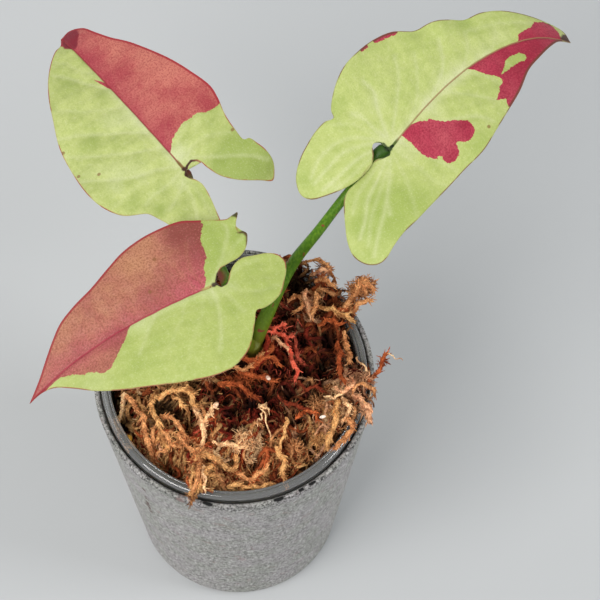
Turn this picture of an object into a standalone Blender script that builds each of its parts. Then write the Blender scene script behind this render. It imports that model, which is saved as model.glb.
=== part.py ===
"""Arrowhead plant in its pot.

A young plant with three arrowhead leaves stands in moss in a clear nursery pot, which stands
in a stone-look outer pot. Lengths below are in millimetres and MM turns them into metres.
The origin is the centre of the outer pot's flat foot, +Z is up and -Y faces the viewer.
"""
import math

import bmesh
import bpy
import numpy as np
from mathutils import Vector
from mathutils.geometry import delaunay_2d_cdt

MM = 0.001
GAP = 0.3

# Outer pot
POT_HEIGHT = 89.6
POT_TOP_RADIUS = 35.0
POT_FOOT_RADIUS = 26.2
POT_FOOT_ROUNDING = 3.0
POT_WALL = 1.4
POT_FLOOR = 2.6

# Inner pot and its rolled lip
LIP_TOP = 91.3
LIP_HEIGHT = 2.8
LIP_INNER_RADIUS = 31.0
LIP_RADIUS = POT_TOP_RADIUS - POT_WALL - GAP
CUP_TOP_RADIUS = 32.0
CUP_FOOT_RADIUS = 23.8
CUP_WALL = 0.8
CUP_FOOT = POT_FLOOR + GAP

# Body of the moss
MOSS_DIRECTIONS = 64
MOSS_RINGS = 14
MOSS_RADIUS = LIP_INNER_RADIUS - 0.8
MOSS_EDGE_LEVEL = LIP_TOP - 5.5
MOSS_MOUND_HEIGHT = 7.0
MOSS_OVERHANG_LEVEL = LIP_TOP + 3.6
MOSS_FOOT = CUP_FOOT + CUP_WALL + GAP
MOSS_FOOT_RADIUS = CUP_FOOT_RADIUS - 4
MOSS_WALL_LEVELS = (70.0, 6.0)
# Folded waves that make its matted relief: direction in degrees, wavelength and phase
MOSS_WAVES = [(20, 9.0, 0.0), (75, 7.5, 1.3), (130, 8.2, 2.1), (165, 6.4, 0.7)]
MOSS_RELIEF = 1.1

# Tufts that hang over the lip: direction in degrees, how far past the lip's bore, half width in degrees
MOSS_TUFTS = [(-14, 5.5, 15), (37, 5.0, 13), (60, 3.2, 10), (-107, 3.2, 8)]
TUFT_START_RADIUS = 18.0
TUFT_RAMP = 12.0
# A tuft's underside climbs above the lip over this much of its reach, before it passes the bore
TUFT_CLIMB = 1.2

# Strands that stand out of the moss
MOSS_SEED = 3
STRAND_COUNT = 26
STRAND_POINTS = 6
STRAND_SIDES = 4
STRAND_RADIUS = 0.85
STRAND_SPREAD = 26.0
STRAND_LENGTHS = (9.0, 14.0)
STRAND_RISES = (1.6, 3.0)
STRAND_SINK = 1.5
TUFT_STRANDS = 4
TUFT_STRAND_START = 23.0
TUFT_STRAND_SINK = 1.2
TUFT_STRAND_CREST = 1.9
TUFT_STRAND_DROOP = 1.1
STEM_CLEARANCE = 8.5

# Stem and the plain stepped hole that it stands in
STEM_PLACE = (4.4, 5.8)
STEM_RADIUS = 3.0
STEM_FOOT = 62.0
STEM_TOP = 97.5
HOLE_STEP = STEM_FOOT + 0.6
HOLE_TAPER_FOOT = STEM_TOP - 12
HOLE_MOUTH = STEM_TOP - 6
HOLE_STEPS = 20

# Roots in the wide foot of the hole
ROOT_HOLE_RADIUS = 6.2
ROOT_HOLE_FOOT = 34.0
ROOT_KNOT_TOP = STEM_FOOT - 2.6
ROOT_COUNT = 6
ROOT_RADIUS = 0.95
ROOT_TIP_RADIUS = 0.5

# Petioles
PETIOLE_FOOT = STEM_TOP - 4
PETIOLE_FOOT_RADIUS = 2.1
PETIOLE_TOP_RADIUS = 1.15
PETIOLE_STEPS = 16
PETIOLE_SEAT = 0.9

# Leaves
BLADE_THICKNESS = 0.7
EDGE_SPACING = 1.6
INNER_SPACING = 2.7

# Round pieces: steps of a turned piece, and how far a tube's end point stands out, in radii
TURN_STEPS = 56
TUBE_TIP = 0.6

# Outlines of the blades, in each blade's own flat plane: the first number runs along the midrib from
# the petiole to the tip, the second to the left of it. Each side runs from the notch at the petiole
# down the inner edge of its lobe, round the lobe, and along the blade to the tip.
LEAF_RIGHT = {
    "name": "leaf_right",
    "root": (38.2, 39.2, 139.0),
    "heading": 38.6,
    "droop": 2.0,
    "bank": 4.0,
    "midrib_slope": 0.275,
    "fold_left": 0.18,
    "fold_right": 0.18,
    "arch": 0.006,
    "sag": 0.003,
    "lobe_sag": 0.006,
    "curl_from": 47.0,
    "curl": 0.03,
    "wave_height": 0.8,
    "wave_length": 30.0,
    "wave_phase": 1.0,
    "left": [(-0.3, 0), (-0.6, 1.9), (-2.4, 2.9), (-4.3, 1.1), (-6.3, -0.6), (-10.8, -1.6),
             (-15.2, -1.1), (-19.7, 0.5), (-22.6, 2.1), (-23.8, 4.5), (-22.6, 8), (-19, 11.2),
             (-15, 13.2), (-11.4, 14.5), (-8.5, 14.9), (-6.4, 14.2), (-5.4, 16.3), (-2.2, 19.5),
             (3.4, 23), (9.5, 24.7), (15, 25.3), (20, 24.5), (24.6, 21.7), (29, 20.8), (33.7, 19),
             (37.5, 17.2), (42.6, 16.5), (47.6, 14.4), (52.3, 11.1), (57, 7.2), (60.6, 3.4), (60, 0)],
    "right": [(-0.3, 0), (-2.3, -0.9), (-4.3, -0.9), (-6.4, -1.8), (-8.8, -2.6), (-11.4, -2.9),
              (-14.5, -2.8), (-16.8, -3.5), (-18.5, -5.4), (-20.6, -8.5), (-22.8, -12.2),
              (-23.8, -15.8), (-23.2, -18.3), (-22, -20), (-20, -21.2), (-18, -21.2), (-15.3, -20.2),
              (-11.5, -19.2), (-7.5, -18.8), (-2.1, -17.8), (4, -16.6), (11, -15.1), (18.1, -13.9),
              (24.5, -11.3), (30.8, -8.6), (36.6, -6), (42.7, -2.5), (47.8, -1), (53, 0.4),
              (56.4, 1), (60, 0)],
}
LEAF_LEFT_BACK = {
    "name": "leaf_left_back",
    "root": (-12.0, 40.0, 126.0),
    "heading": 126.3,
    "droop": 9.0,
    "bank": -3.0,
    "midrib_slope": 0.0,
    "fold_left": 0.14,
    "fold_right": 0.30,
    "arch": 0.006,
    "sag": 0.0022,
    "lobe_sag": 0.010,
    "curl_from": 48.0,
    "curl": 0.02,
    "wave_height": 0.8,
    "wave_length": 30.0,
    "wave_phase": 0.5,
    "left": [(-0.6, -0.3), (-1.9, 0.8), (-4.1, -0.4), (-6, -1), (-8.4, -0.9), (-13.1, 0.2), (-18, 1.7),
             (-20.2, 3.6), (-20.7, 6.6), (-18.8, 9.1), (-15, 10.7), (-10, 12), (-7, 13.2),
             (-5.2, 14.2), (-3.6, 15.9), (-0.5, 19.6), (3.6, 21.8), (9.4, 22.5), (18.6, 21.5),
             (26, 20), (34.2, 16.5), (40.5, 13.7), (46.4, 10.2), (51.6, 5.8), (53.8, 3.3),
             (54.4, 1.6), (57, 0)],
    "right": [(-0.6, -0.3), (0.4, -1.5), (0.4, -3), (-1.2, -4.1), (-3.5, -4.4), (-7.6, -5.6),
              (-11.4, -8.3), (-15, -12.6), (-16.3, -14.8), (-15.2, -16.5), (-13, -17.9),
              (-10.1, -18.1), (-7.5, -17.5), (-5.2, -16.7), (-4.6, -15.5), (-1.2, -15.5), (4.7, -16.3),
              (9.9, -17.8), (14, -18.4), (20.8, -17.1), (30.8, -14.6), (40.2, -11.4), (45.5, -8.7),
              (50, -7), (54.9, -5.5), (57.6, -2.8), (57, 0)],
}
LEAF_LEFT_FRONT = {
    "name": "leaf_left_front",
    "root": (-4.2, 5.5, 134.0),
    "heading": 210.2,
    "droop": 4.0,
    "bank": 2.0,
    "midrib_slope": -0.12,
    "fold_left": 0.20,
    "fold_right": 0.18,
    "arch": 0.006,
    "sag": 0.003,
    "lobe_sag": 0.005,
    "curl_from": 50.0,
    "curl": 0.0,
    "wave_height": 0.6,
    "wave_length": 32.0,
    "wave_phase": 0.0,
    "left": [(-0.6, 0.1), (-1.5, 1.4), (-3, 1.2), (-4.6, -0.5), (-6.8, -2.1), (-9.2, -2.6),
             (-12.3, -1.8), (-15.2, -0.9), (-17.2, 0.6), (-17.8, 3.1), (-17, 5.1), (-15, 7.8),
             (-12.6, 10.4), (-9.4, 11.7), (-7, 12), (-5.2, 11.7), (-3.7, 13.6), (-1.3, 16.7),
             (1.3, 19.4), (4.7, 21.1), (8.5, 21.6), (12.7, 20.6), (18.2, 18), (25.8, 14.3),
             (32.3, 11), (37.4, 7.5), (41.7, 3.3), (45.2, 0.4), (48.3, -0.4), (52, 0)],
    "right": [(-0.6, 0.1), (-1.6, -1.4), (-3.4, -2.9), (-5.6, -3.5), (-8.7, -3.7), (-10.9, -4.4),
              (-12.8, -6), (-13.1, -7.4), (-11.9, -8.3), (-12, -10), (-13.3, -12.6), (-11, -13.3),
              (-7.5, -14.9), (-4, -16.7), (-1.2, -18.2), (3.9, -19.3), (9.4, -19.8), (14.7, -19.2),
              (19.6, -17.5), (25.5, -15.3), (31.5, -13.8), (36.2, -12.1), (39.7, -9.7),
              (43.4, -6.7), (47.3, -3.4), (52, 0)],
}
LEAVES = [LEAF_RIGHT, LEAF_LEFT_BACK, LEAF_LEFT_FRONT]

# Points that each petiole passes through between the stem and the blade that it carries
PETIOLE_WAYS = {
    "leaf_right": [(7, 9.4, 100.5), (13.9, 20.3, 110.5), (21.3, 25, 123.5), (28.2, 31, 132)],
    "leaf_left_back": [(2.4, 9.6, 101), (-3.2, 20.5, 110.5), (-8, 30, 119)],
    "leaf_left_front": [(2.4, 4.4, 103), (-1.4, 2.6, 114), (-3.6, 3.4, 124.5)],
}


def clear_scene():
    for item in list(bpy.data.objects):
        bpy.data.objects.remove(item, do_unlink=True)


def make_material(name, colour, roughness, metallic=0.0, alpha=1.0):
    material = bpy.data.materials.new(name)
    material.use_nodes = True
    shader = material.node_tree.nodes["Principled BSDF"]
    shader.inputs["Base Color"].default_value = (*colour, 1.0)
    shader.inputs["Roughness"].default_value = roughness
    shader.inputs["Metallic"].default_value = metallic
    shader.inputs["Alpha"].default_value = alpha
    return material


def add_object(name, mesh, material):
    item = bpy.data.objects.new(name, mesh)
    bpy.context.scene.collection.objects.link(item)
    mesh.materials.clear()
    mesh.materials.append(material)
    mesh.shade_smooth()
    mesh.set_sharp_from_angle(angle=math.radians(40))
    return item


def mesh_from(name, points, faces):
    """A mesh from points in millimetres, with coincident points joined and the faces turned outward."""
    mesh = bpy.data.meshes.new(name)
    mesh.from_pydata((np.asarray(points) * MM).tolist(), [], faces)
    work = bmesh.new()
    work.from_mesh(mesh)
    bmesh.ops.remove_doubles(work, verts=work.verts, dist=0.00001)
    bmesh.ops.dissolve_degenerate(work, edges=work.edges, dist=0.000001)
    bmesh.ops.recalc_face_normals(work, faces=work.faces)
    work.to_mesh(mesh)
    work.free()
    return mesh


def smooth_path(points, steps):
    """Points evenly spaced along a centripetal Catmull-Rom curve through the given points."""
    points = np.asarray(points, float)
    first = 2 * points[0] - points[1]
    last = 2 * points[-1] - points[-2]
    knots = np.vstack([first, points, last])
    pieces = []
    for p0, p1, p2, p3 in zip(knots[:-3], knots[1:-2], knots[2:-1], knots[3:]):
        a = math.sqrt(np.linalg.norm(p1 - p0))
        b = math.sqrt(np.linalg.norm(p2 - p1))
        c = math.sqrt(np.linalg.norm(p3 - p2))
        leave = (p1 - p0) / a - (p2 - p0) / (a + b) + (p2 - p1) / b
        arrive = (p2 - p1) / b - (p3 - p1) / (b + c) + (p3 - p2) / c
        u = np.linspace(0, 1, 24, endpoint=False)[:, None]
        pieces.append((2 * u**3 - 3 * u**2 + 1) * p1 + (3 * u**2 - 2 * u**3) * p2
                      + b * ((u**3 - 2 * u**2 + u) * leave + (u**3 - u**2) * arrive))
    curve = np.vstack(pieces + [points[-1:]])
    length = np.concatenate([[0], np.cumsum(np.linalg.norm(np.diff(curve, axis=0), axis=1))])
    wanted = np.linspace(0, length[-1], steps + 1)
    return np.stack([np.interp(wanted, length, curve[:, k]) for k in range(curve.shape[1])], axis=1)


def turned_mesh(name, profile):
    """A closed profile of (radius, height) pairs, running down its outer side, turned about +Z."""
    mesh = bpy.data.meshes.new(name)
    points = [(radius * MM, 0.0, height * MM) for radius, height in profile]
    count = len(points)
    edges = [(k, k + 1) for k in range(count - 1)]
    mesh.from_pydata(points, edges, [])
    return mesh


def add_turned(name, profile, material, steps=TURN_STEPS):
    item = bpy.data.objects.new(name, turned_mesh(name, profile))
    bpy.context.scene.collection.objects.link(item)
    screw = item.modifiers.new("turn", "SCREW")
    screw.axis = "Z"
    screw.angle = 2 * math.pi
    screw.steps = steps
    screw.render_steps = steps
    screw.use_merge_vertices = True
    screw.merge_threshold = 0.00001
    screw.use_smooth_shade = True
    item.data.materials.append(material)
    return item


def arc(centre_radius, centre_height, size, start, stop, steps):
    """Profile points on a round edge, from the start to the stop angle in degrees."""
    return [(centre_radius + size * math.cos(math.radians(angle)),
             centre_height + size * math.sin(math.radians(angle)))
            for angle in np.linspace(start, stop, steps + 1)]


def make_outer_pot():
    stone = make_material("stone_look_grey", (0.31, 0.30, 0.27), 0.85)
    edge = POT_WALL / 2
    rounding = POT_FOOT_ROUNDING
    foot_inner = POT_FOOT_RADIUS - POT_WALL
    profile = [(0, POT_FLOOR), (foot_inner - 1.5, POT_FLOOR)]
    profile += [(foot_inner, POT_FLOOR + 1.5)]
    profile += arc(POT_TOP_RADIUS - edge, POT_HEIGHT - edge, edge, 180, 0, 6)
    profile += arc(POT_FOOT_RADIUS - rounding, rounding, rounding, -6, -90, 5)
    profile += [(0, 0)]
    return add_turned("outer_pot", profile, stone)


def cup_radius(height):
    """Outer radius of the inner pot's straight tapered wall."""
    share = (height - CUP_FOOT) / (LIP_TOP - LIP_HEIGHT - CUP_FOOT)
    return CUP_FOOT_RADIUS + (CUP_TOP_RADIUS - CUP_FOOT_RADIUS) * share


def make_inner_pot():
    clear = make_material("clear_plastic", (0.42, 0.42, 0.40), 0.12, alpha=0.35)
    lip_foot = LIP_TOP - LIP_HEIGHT
    middle = (LIP_RADIUS + LIP_INNER_RADIUS) / 2
    half = (LIP_RADIUS - LIP_INNER_RADIUS) / 2
    profile = [(0, CUP_FOOT + CUP_WALL), (CUP_FOOT_RADIUS - 1.6, CUP_FOOT + CUP_WALL)]
    profile += [(cup_radius(CUP_FOOT + 2) - CUP_WALL, CUP_FOOT + 2)]
    profile += [(LIP_INNER_RADIUS, lip_foot)]
    profile += arc(middle, LIP_TOP - half, half, 180, 0, 8)
    profile += [(LIP_RADIUS, lip_foot), (CUP_TOP_RADIUS, lip_foot)]
    profile += arc(CUP_FOOT_RADIUS - 1.2, CUP_FOOT + 1.2, 1.2, -6, -90, 3)
    profile += [(0, CUP_FOOT)]
    return add_turned("inner_pot", profile, clear)


def tuft_reach(angle):
    """How far the moss reaches past the lip's bore in each direction, from 0 to the tuft's length."""
    reach = np.zeros_like(angle)
    for direction, length, half_width in MOSS_TUFTS:
        turn = np.degrees(np.angle(np.exp(1j * (angle - math.radians(direction)))))
        reach = np.maximum(reach, length * np.exp(-(turn / half_width)**2))
    return reach


def moss_relief(x, y):
    """Matted strands: ridges of four folded waves that cross each other at different angles."""
    total = np.zeros_like(x)
    for turn, wavelength, phase in MOSS_WAVES:
        along = x * math.cos(math.radians(turn)) + y * math.sin(math.radians(turn))
        bend = 1.6 * np.sin(0.31 * (x - y) + phase)
        total += 1 - 2 * np.abs(np.sin(math.pi * (along + bend) / wavelength + phase))
    return total / 2


def moss_top(x, y):
    """Height of the mounded top: higher behind and to the right, and rough all over."""
    radius = np.hypot(x, y) / LIP_INNER_RADIUS
    mound = MOSS_MOUND_HEIGHT * np.clip(1 - radius**2, 0, None)**0.7
    lean = 2.4 * (0.6 * x + 0.8 * y) / LIP_INNER_RADIUS
    lumps = 1.2 * np.sin(0.27 * x + 0.9) * np.sin(0.31 * y - 0.4)
    return MOSS_EDGE_LEVEL + mound + lean + lumps + MOSS_RELIEF * moss_relief(x, y)


def moss_grid():
    """Rings of points from the middle of the mound outward, round the tufts' edge, and down inside
    the pot. Where the tufts are, the top rises over the lip and the underside stays above it."""
    angle = np.linspace(0, 2 * math.pi, MOSS_DIRECTIONS, endpoint=False)
    reach = tuft_reach(angle)
    share = np.clip(reach / TUFT_CLIMB, 0, 1)
    edge = MOSS_RADIUS + np.maximum(reach - TUFT_CLIMB, 0)
    radii = np.outer(np.linspace(0, 1, MOSS_RINGS)[1:], edge)
    x = radii * np.cos(angle)
    y = radii * np.sin(angle)
    z = moss_top(x, y)
    overhang = np.maximum(z, MOSS_OVERHANG_LEVEL + 0.6 * moss_relief(x, y))
    lift = np.clip((radii - TUFT_START_RADIUS) / TUFT_RAMP, 0, 1) * share
    z = z * (1 - lift) + overhang * lift
    underside = (MOSS_EDGE_LEVEL - 4) * (1 - share) + (LIP_TOP + GAP + 0.2) * share
    rows = [np.stack([x, y, z], axis=2)]
    level = np.ones(MOSS_DIRECTIONS)
    rings = [(edge - 0.3, underside), (MOSS_RADIUS * level, underside)]
    for height in MOSS_WALL_LEVELS:
        rings.append(((cup_radius(height) - CUP_WALL - GAP) * level, height * level))
    rings.append((MOSS_FOOT_RADIUS * level, MOSS_FOOT * level))
    for radius, height in rings:
        ring = np.stack([radius * np.cos(angle), radius * np.sin(angle), height], axis=1)
        rows.append(ring[None])
    return np.concatenate(rows)


def make_moss():
    """The moss body joined with its strands, with the stem's hole cut in it."""
    brown = make_material("long_fibred_moss", (0.36, 0.15, 0.06), 0.95)
    grid = moss_grid()
    middle = float(moss_top(np.zeros(1), np.zeros(1))[0])
    points = np.vstack([grid.reshape(-1, 3), [0, 0, middle], [0, 0, MOSS_FOOT]])
    last = len(grid) - 1
    faces = []
    for k in range(MOSS_DIRECTIONS):
        n = (k + 1) % MOSS_DIRECTIONS
        faces.append((len(points) - 2, k, n))
        faces.append((len(points) - 1, last * MOSS_DIRECTIONS + n, last * MOSS_DIRECTIONS + k))
        for row in range(last):
            a, b = row * MOSS_DIRECTIONS + k, row * MOSS_DIRECTIONS + n
            c, d = b + MOSS_DIRECTIONS, a + MOSS_DIRECTIONS
            faces.append((a, d, c))
            faces.append((a, c, b))
    moss = add_object("moss", mesh_from("moss", points, faces), brown)
    strands = [add_object("strand", mesh, brown) for mesh in strand_meshes()]
    join_all(moss, strands, "MANIFOLD")
    hole = make_stem_hole(brown)
    cut = moss.modifiers.new("stem_hole", "BOOLEAN")
    cut.operation = "DIFFERENCE"
    cut.solver = "MANIFOLD"
    cut.object = hole
    apply_boolean(moss)
    bpy.data.objects.remove(hole, do_unlink=True)
    return moss


def mound_strand(draw):
    """A strand that leaves the mound, bows over it with a swerve, and dips back to its surface."""
    share = np.linspace(0, 1, STRAND_POINTS)
    radius = STRAND_SPREAD * math.sqrt(draw.uniform(0.02, 1))
    place = draw.uniform(0, 2 * math.pi)
    heading = draw.uniform(0, 2 * math.pi)
    length = draw.uniform(*STRAND_LENGTHS)
    bend = heading + draw.uniform(-1.4, 1.4) * share
    x = radius * math.cos(place) + length * (share - 0.5) * np.cos(bend)
    y = radius * math.sin(place) + length * (share - 0.5) * np.sin(bend)
    rise = draw.uniform(*STRAND_RISES) * np.sin(math.pi * share**0.8)
    return np.stack([x, y, moss_top(x, y) - STRAND_SINK + rise + 0.9 * share], axis=1)


def tuft_strand(draw, direction, half_width, length):
    """A strand of a tuft: out of the mound, over the lip and the pot's edge, and a little down."""
    share = np.linspace(0, 1, STRAND_POINTS)
    swing = draw.uniform(-1, 1)
    turn = math.radians(direction) + math.radians(half_width) * swing * (0.5 + 0.6 * share)
    reach = TUFT_STRAND_START + (LIP_INNER_RADIUS - 20 + length + draw.uniform(0, 2.2)) * share
    crest = LIP_TOP + TUFT_STRAND_CREST + draw.uniform(0.4, 3.2) * np.sin(math.pi * share)
    x, y = reach * np.cos(turn), reach * np.sin(turn)
    past_pot = np.clip(reach - POT_TOP_RADIUS - 1.5, 0, None)
    climb = np.clip(share * 2.5, 0, 1)
    z = (moss_top(x, y) - TUFT_STRAND_SINK) * (1 - climb) + crest * climb - TUFT_STRAND_DROOP * past_pot
    return np.stack([x, y, z], axis=1)


def strand_meshes():
    """The strands that stand out of the mound all over its top, and those of the tufts at its edge."""
    draw = np.random.default_rng(MOSS_SEED)
    paths = []
    while len(paths) < STRAND_COUNT:
        path = mound_strand(draw)
        off_stem = np.hypot(path[:, 0] - STEM_PLACE[0], path[:, 1] - STEM_PLACE[1]).min()
        off_axis = np.hypot(path[:, 0], path[:, 1]).max()
        if off_stem > STEM_CLEARANCE and off_axis < LIP_INNER_RADIUS - 2:
            paths.append(path)
    for direction, length, half_width in MOSS_TUFTS:
        for _ in range(TUFT_STRANDS):
            paths.append(tuft_strand(draw, direction, half_width, length))
    along = np.linspace(0, 2, STRAND_POINTS)
    radii = STRAND_RADIUS * np.interp(along, range(3), [0.75, 1.0, 0.85])
    return [tube_mesh("strand", path, radii, STRAND_SIDES) for path in paths]


def make_stem_hole(material):
    """The stepped round hole: wide at its mouth, narrow round the stem, wide again round the roots."""
    narrow = STEM_RADIUS + GAP
    wide = ROOT_HOLE_RADIUS + GAP
    above = STEM_TOP + 20
    profile = [(0, above), (wide, above), (wide, HOLE_MOUTH), (narrow, HOLE_TAPER_FOOT),
               (narrow, HOLE_STEP), (wide, HOLE_STEP - 2), (wide, ROOT_HOLE_FOOT),
               (0, ROOT_HOLE_FOOT - GAP)]
    hole = add_turned("stem_hole", profile, material, steps=HOLE_STEPS)
    hole.location = (STEM_PLACE[0] * MM, STEM_PLACE[1] * MM, 0)
    return hole


def tube_mesh(name, path, radii, sides):
    """A closed round tube along a path, with a point at each end."""
    path = np.asarray(path, float)
    tangent = np.gradient(path, axis=0)
    tangent /= np.linalg.norm(tangent, axis=1)[:, None]
    across = np.cross(tangent, [0.3, 1.0, 0.1])
    across /= np.linalg.norm(across, axis=1)[:, None]
    upward = np.cross(tangent, across)
    turn = np.linspace(0, 2 * math.pi, sides, endpoint=False)
    ring = across[:, None] * np.cos(turn)[:, None] + upward[:, None] * np.sin(turn)[:, None]
    grid = path[:, None] + ring * np.asarray(radii)[:, None, None]
    points = np.vstack([grid.reshape(-1, 3), path[:1] - tangent[:1] * radii[0] * TUBE_TIP,
                        path[-1:] + tangent[-1:] * radii[-1] * TUBE_TIP])
    faces = []
    start, end = len(points) - 2, len(points) - 1
    last = (len(path) - 1) * sides
    for k in range(sides):
        n = (k + 1) % sides
        faces.append((start, n, k))
        faces.append((end, last + k, last + n))
        for row in range(len(path) - 1):
            a, b = row * sides + k, row * sides + n
            faces.append((a, b, b + sides, a + sides))
    return mesh_from(name, points, faces)


def apply_boolean(item):
    """Turns the item's Boolean into its mesh and keeps the one large body."""
    bpy.context.view_layer.update()
    made = bpy.data.meshes.new_from_object(item.evaluated_get(bpy.context.evaluated_depsgraph_get()))
    item.modifiers.clear()
    keep_largest_body(made)
    item.data = made


def join_all(item, pieces, solver="EXACT"):
    """One union of the item with a collection of pieces, applied, with the pieces then removed."""
    group = bpy.data.collections.new(item.name + "_pieces")
    for piece in pieces:
        group.objects.link(piece)
    union = item.modifiers.new("join", "BOOLEAN")
    union.operation = "UNION"
    union.solver = solver
    union.operand_type = "COLLECTION"
    union.collection = group
    apply_boolean(item)
    for piece in pieces:
        bpy.data.objects.remove(piece, do_unlink=True)
    bpy.data.collections.remove(group)


def keep_largest_body(mesh):
    """Drops loose scraps and the walls of sealed pockets, which fills those pockets."""
    work = bmesh.new()
    work.from_mesh(mesh)
    waiting = set(work.verts)
    bodies = []
    while waiting:
        front = [waiting.pop()]
        body = list(front)
        while front:
            vert = front.pop()
            for edge in vert.link_edges:
                other = edge.other_vert(vert)
                if other in waiting:
                    waiting.remove(other)
                    front.append(other)
                    body.append(other)
        bodies.append(body)
    bodies.sort(key=len)
    for body in bodies[:-1]:
        bmesh.ops.delete(work, geom=body, context="VERTS")
    work.to_mesh(mesh)
    work.free()


def petiole_end(leaf):
    """The point just under the blade where its petiole stops, so that its round end, however it leans,
    stays clear of the blade by the gap."""
    root, along, _, normal = leaf_frame(leaf)
    place = root + along * PETIOLE_SEAT
    toward = place - np.array(PETIOLE_WAYS[leaf["name"]][-1])
    upright = abs(toward @ normal) / np.linalg.norm(toward)
    end_rise = PETIOLE_TOP_RADIUS * (math.sqrt(1 - upright**2) + TUBE_TIP * upright)
    return place - normal * (BLADE_THICKNESS / 2 + GAP + end_rise)


def make_stem_and_petioles():
    green = make_material("petiole_green", (0.09, 0.19, 0.02), 0.45)
    x, y = STEM_PLACE
    heights = np.array([STEM_FOOT, STEM_FOOT + 3, STEM_TOP - 6, STEM_TOP])
    path = np.stack([np.full(4, x), np.full(4, y), heights], axis=1)
    radii = STEM_RADIUS * np.array([0.7, 1.0, 0.97, 0.8])
    stem = add_object("stem_and_petioles", tube_mesh("stem", path, radii, 12), green)
    petioles = []
    for leaf in LEAVES:
        way = [(x, y, PETIOLE_FOOT)] + PETIOLE_WAYS[leaf["name"]] + [petiole_end(leaf)]
        path = smooth_path(way, PETIOLE_STEPS)
        share = np.linspace(0, 1, PETIOLE_STEPS + 1)
        radii = PETIOLE_TOP_RADIUS + (PETIOLE_FOOT_RADIUS - PETIOLE_TOP_RADIUS) * (1 - share)**2.2
        petioles.append(add_object("petiole", tube_mesh("petiole", path, radii, 8), green))
    join_all(stem, petioles)
    return stem


def make_roots():
    """A short knot below the stem with a few fleshy roots that wind down the hole."""
    cream = make_material("root_cream", (0.60, 0.50, 0.32), 0.7)
    x, y = STEM_PLACE
    top = ROOT_KNOT_TOP
    path = np.array([[x, y, top - 4], [x, y, top - 2.5], [x, y, top - 0.9], [x, y, top - 0.3]])
    roots = add_object("roots", tube_mesh("roots", path, [2.2, 3.0, 2.6, 1.4], 10), cream)
    strands = []
    for number in range(ROOT_COUNT):
        turn = 2 * math.pi * number / ROOT_COUNT
        share = np.linspace(0, 1, 10)
        swing = turn + 0.8 * share + 0.2 * np.sin(9 * share + number)
        spread = 1.6 + 3.0 * np.sin(math.pi * np.minimum(share * 0.75, 0.5))
        path = np.stack([x + spread * np.cos(swing), y + spread * np.sin(swing),
                         top - 2.4 - share * (top - ROOT_HOLE_FOOT - 4.5 - number % 3)], axis=1)
        radii = ROOT_RADIUS + (ROOT_TIP_RADIUS - ROOT_RADIUS) * share
        strands.append(add_object("root", tube_mesh("root", path, radii, 6), cream))
    join_all(roots, strands)
    return roots


def leaf_frame(leaf):
    """The blade's root point and its unit directions: along the midrib, to its left, and upward."""
    heading = math.radians(leaf["heading"])
    droop = math.radians(leaf["droop"])
    bank = math.radians(leaf["bank"])
    along = np.array([math.cos(heading) * math.cos(droop), math.sin(heading) * math.cos(droop),
                      -math.sin(droop)])
    level = np.array([-math.sin(heading), math.cos(heading), 0.0])
    across = level * math.cos(bank) + np.cross(along, level) * math.sin(bank)
    return np.array(leaf["root"]), along, across, np.cross(along, across)


def leaf_lift(leaf, s, t):
    """Height of the blade over its flat plane: folded at the bowed midrib, arched across, sagging toward
    the tip and the lobes, curled down at the tip, and waved toward the edge."""
    length = leaf["left"][-1][0]
    run = np.clip(s, 0, length)
    t = t - leaf["midrib_slope"] * run * (1 - (run / length)**2)
    fold = np.where(t > 0, leaf["fold_left"], leaf["fold_right"])
    lift = fold * (np.sqrt(t**2 + 4) - 2) - leaf["arch"] * t**2
    lift -= leaf["sag"] * np.maximum(s, 0)**2 + leaf["lobe_sag"] * np.maximum(-s, 0)**2
    lift -= leaf["curl"] * np.maximum(s - leaf["curl_from"], 0)**2
    turn = 2 * math.pi * s / leaf["wave_length"] + leaf["wave_phase"] + np.where(t > 0, 0.0, 2.0)
    return lift + leaf["wave_height"] * (t / 20)**2 * np.sin(turn)


def leaf_point(leaf, flat):
    """Places flat blade coordinates in space."""
    root, along, across, normal = leaf_frame(leaf)
    s, t = flat[..., 0], flat[..., 1]
    lift = leaf_lift(leaf, s, t)
    return root + s[..., None] * along + t[..., None] * across + lift[..., None] * normal


def blade_outline(leaf):
    """Evenly spaced points round the blade, counted from its notch along the left side to the tip and
    back along the right side."""
    sides = []
    for side in ("left", "right"):
        shape = smooth_path(leaf[side], 200)
        length = np.linalg.norm(np.diff(shape, axis=0), axis=1).sum()
        sides.append(smooth_path(leaf[side], round(length / EDGE_SPACING)))
    return np.vstack([sides[0][:-1], sides[1][::-1][:-1]])


def inside_by(outline, points, margin):
    """True for the points that lie inside the outline and at least the margin away from its points."""
    following = np.roll(outline, -1, axis=0)
    x, y = points[:, :1], points[:, 1:]
    crosses = (outline[:, 1] > y) != (following[:, 1] > y)
    rise = np.where(following[:, 1] == outline[:, 1], 1.0, following[:, 1] - outline[:, 1])
    reached = outline[:, 0] + (y - outline[:, 1]) * (following[:, 0] - outline[:, 0]) / rise
    inside = (crosses & (x < reached)).sum(axis=1) % 2 == 1
    away = np.hypot(x - outline[:, 0], y - outline[:, 1]).min(axis=1)
    return inside & (away > margin)


def flat_sheet(leaf):
    """The blade's flat outline filled with triangles over a net of evenly spaced points."""
    outline = blade_outline(leaf)
    low, high = outline.min(axis=0), outline.max(axis=0)
    rows = np.arange(low[1], high[1], INNER_SPACING * math.sqrt(0.75))
    columns = np.arange(low[0], high[0], INNER_SPACING)
    s = columns[None, :] + (np.arange(len(rows)) % 2)[:, None] * INNER_SPACING / 2
    t = np.repeat(rows[:, None], len(columns), axis=1)
    net = np.stack([s.ravel(), t.ravel()], axis=1)
    net = net[inside_by(outline, net, INNER_SPACING * 0.55)]
    points = [Vector(point) for point in np.vstack([outline, net])]
    loop = list(range(len(outline)))
    flat, _, triangles, *_ = delaunay_2d_cdt(points, [], [loop], 1, 0.0001)
    return np.array([tuple(point) for point in flat]), triangles


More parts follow.
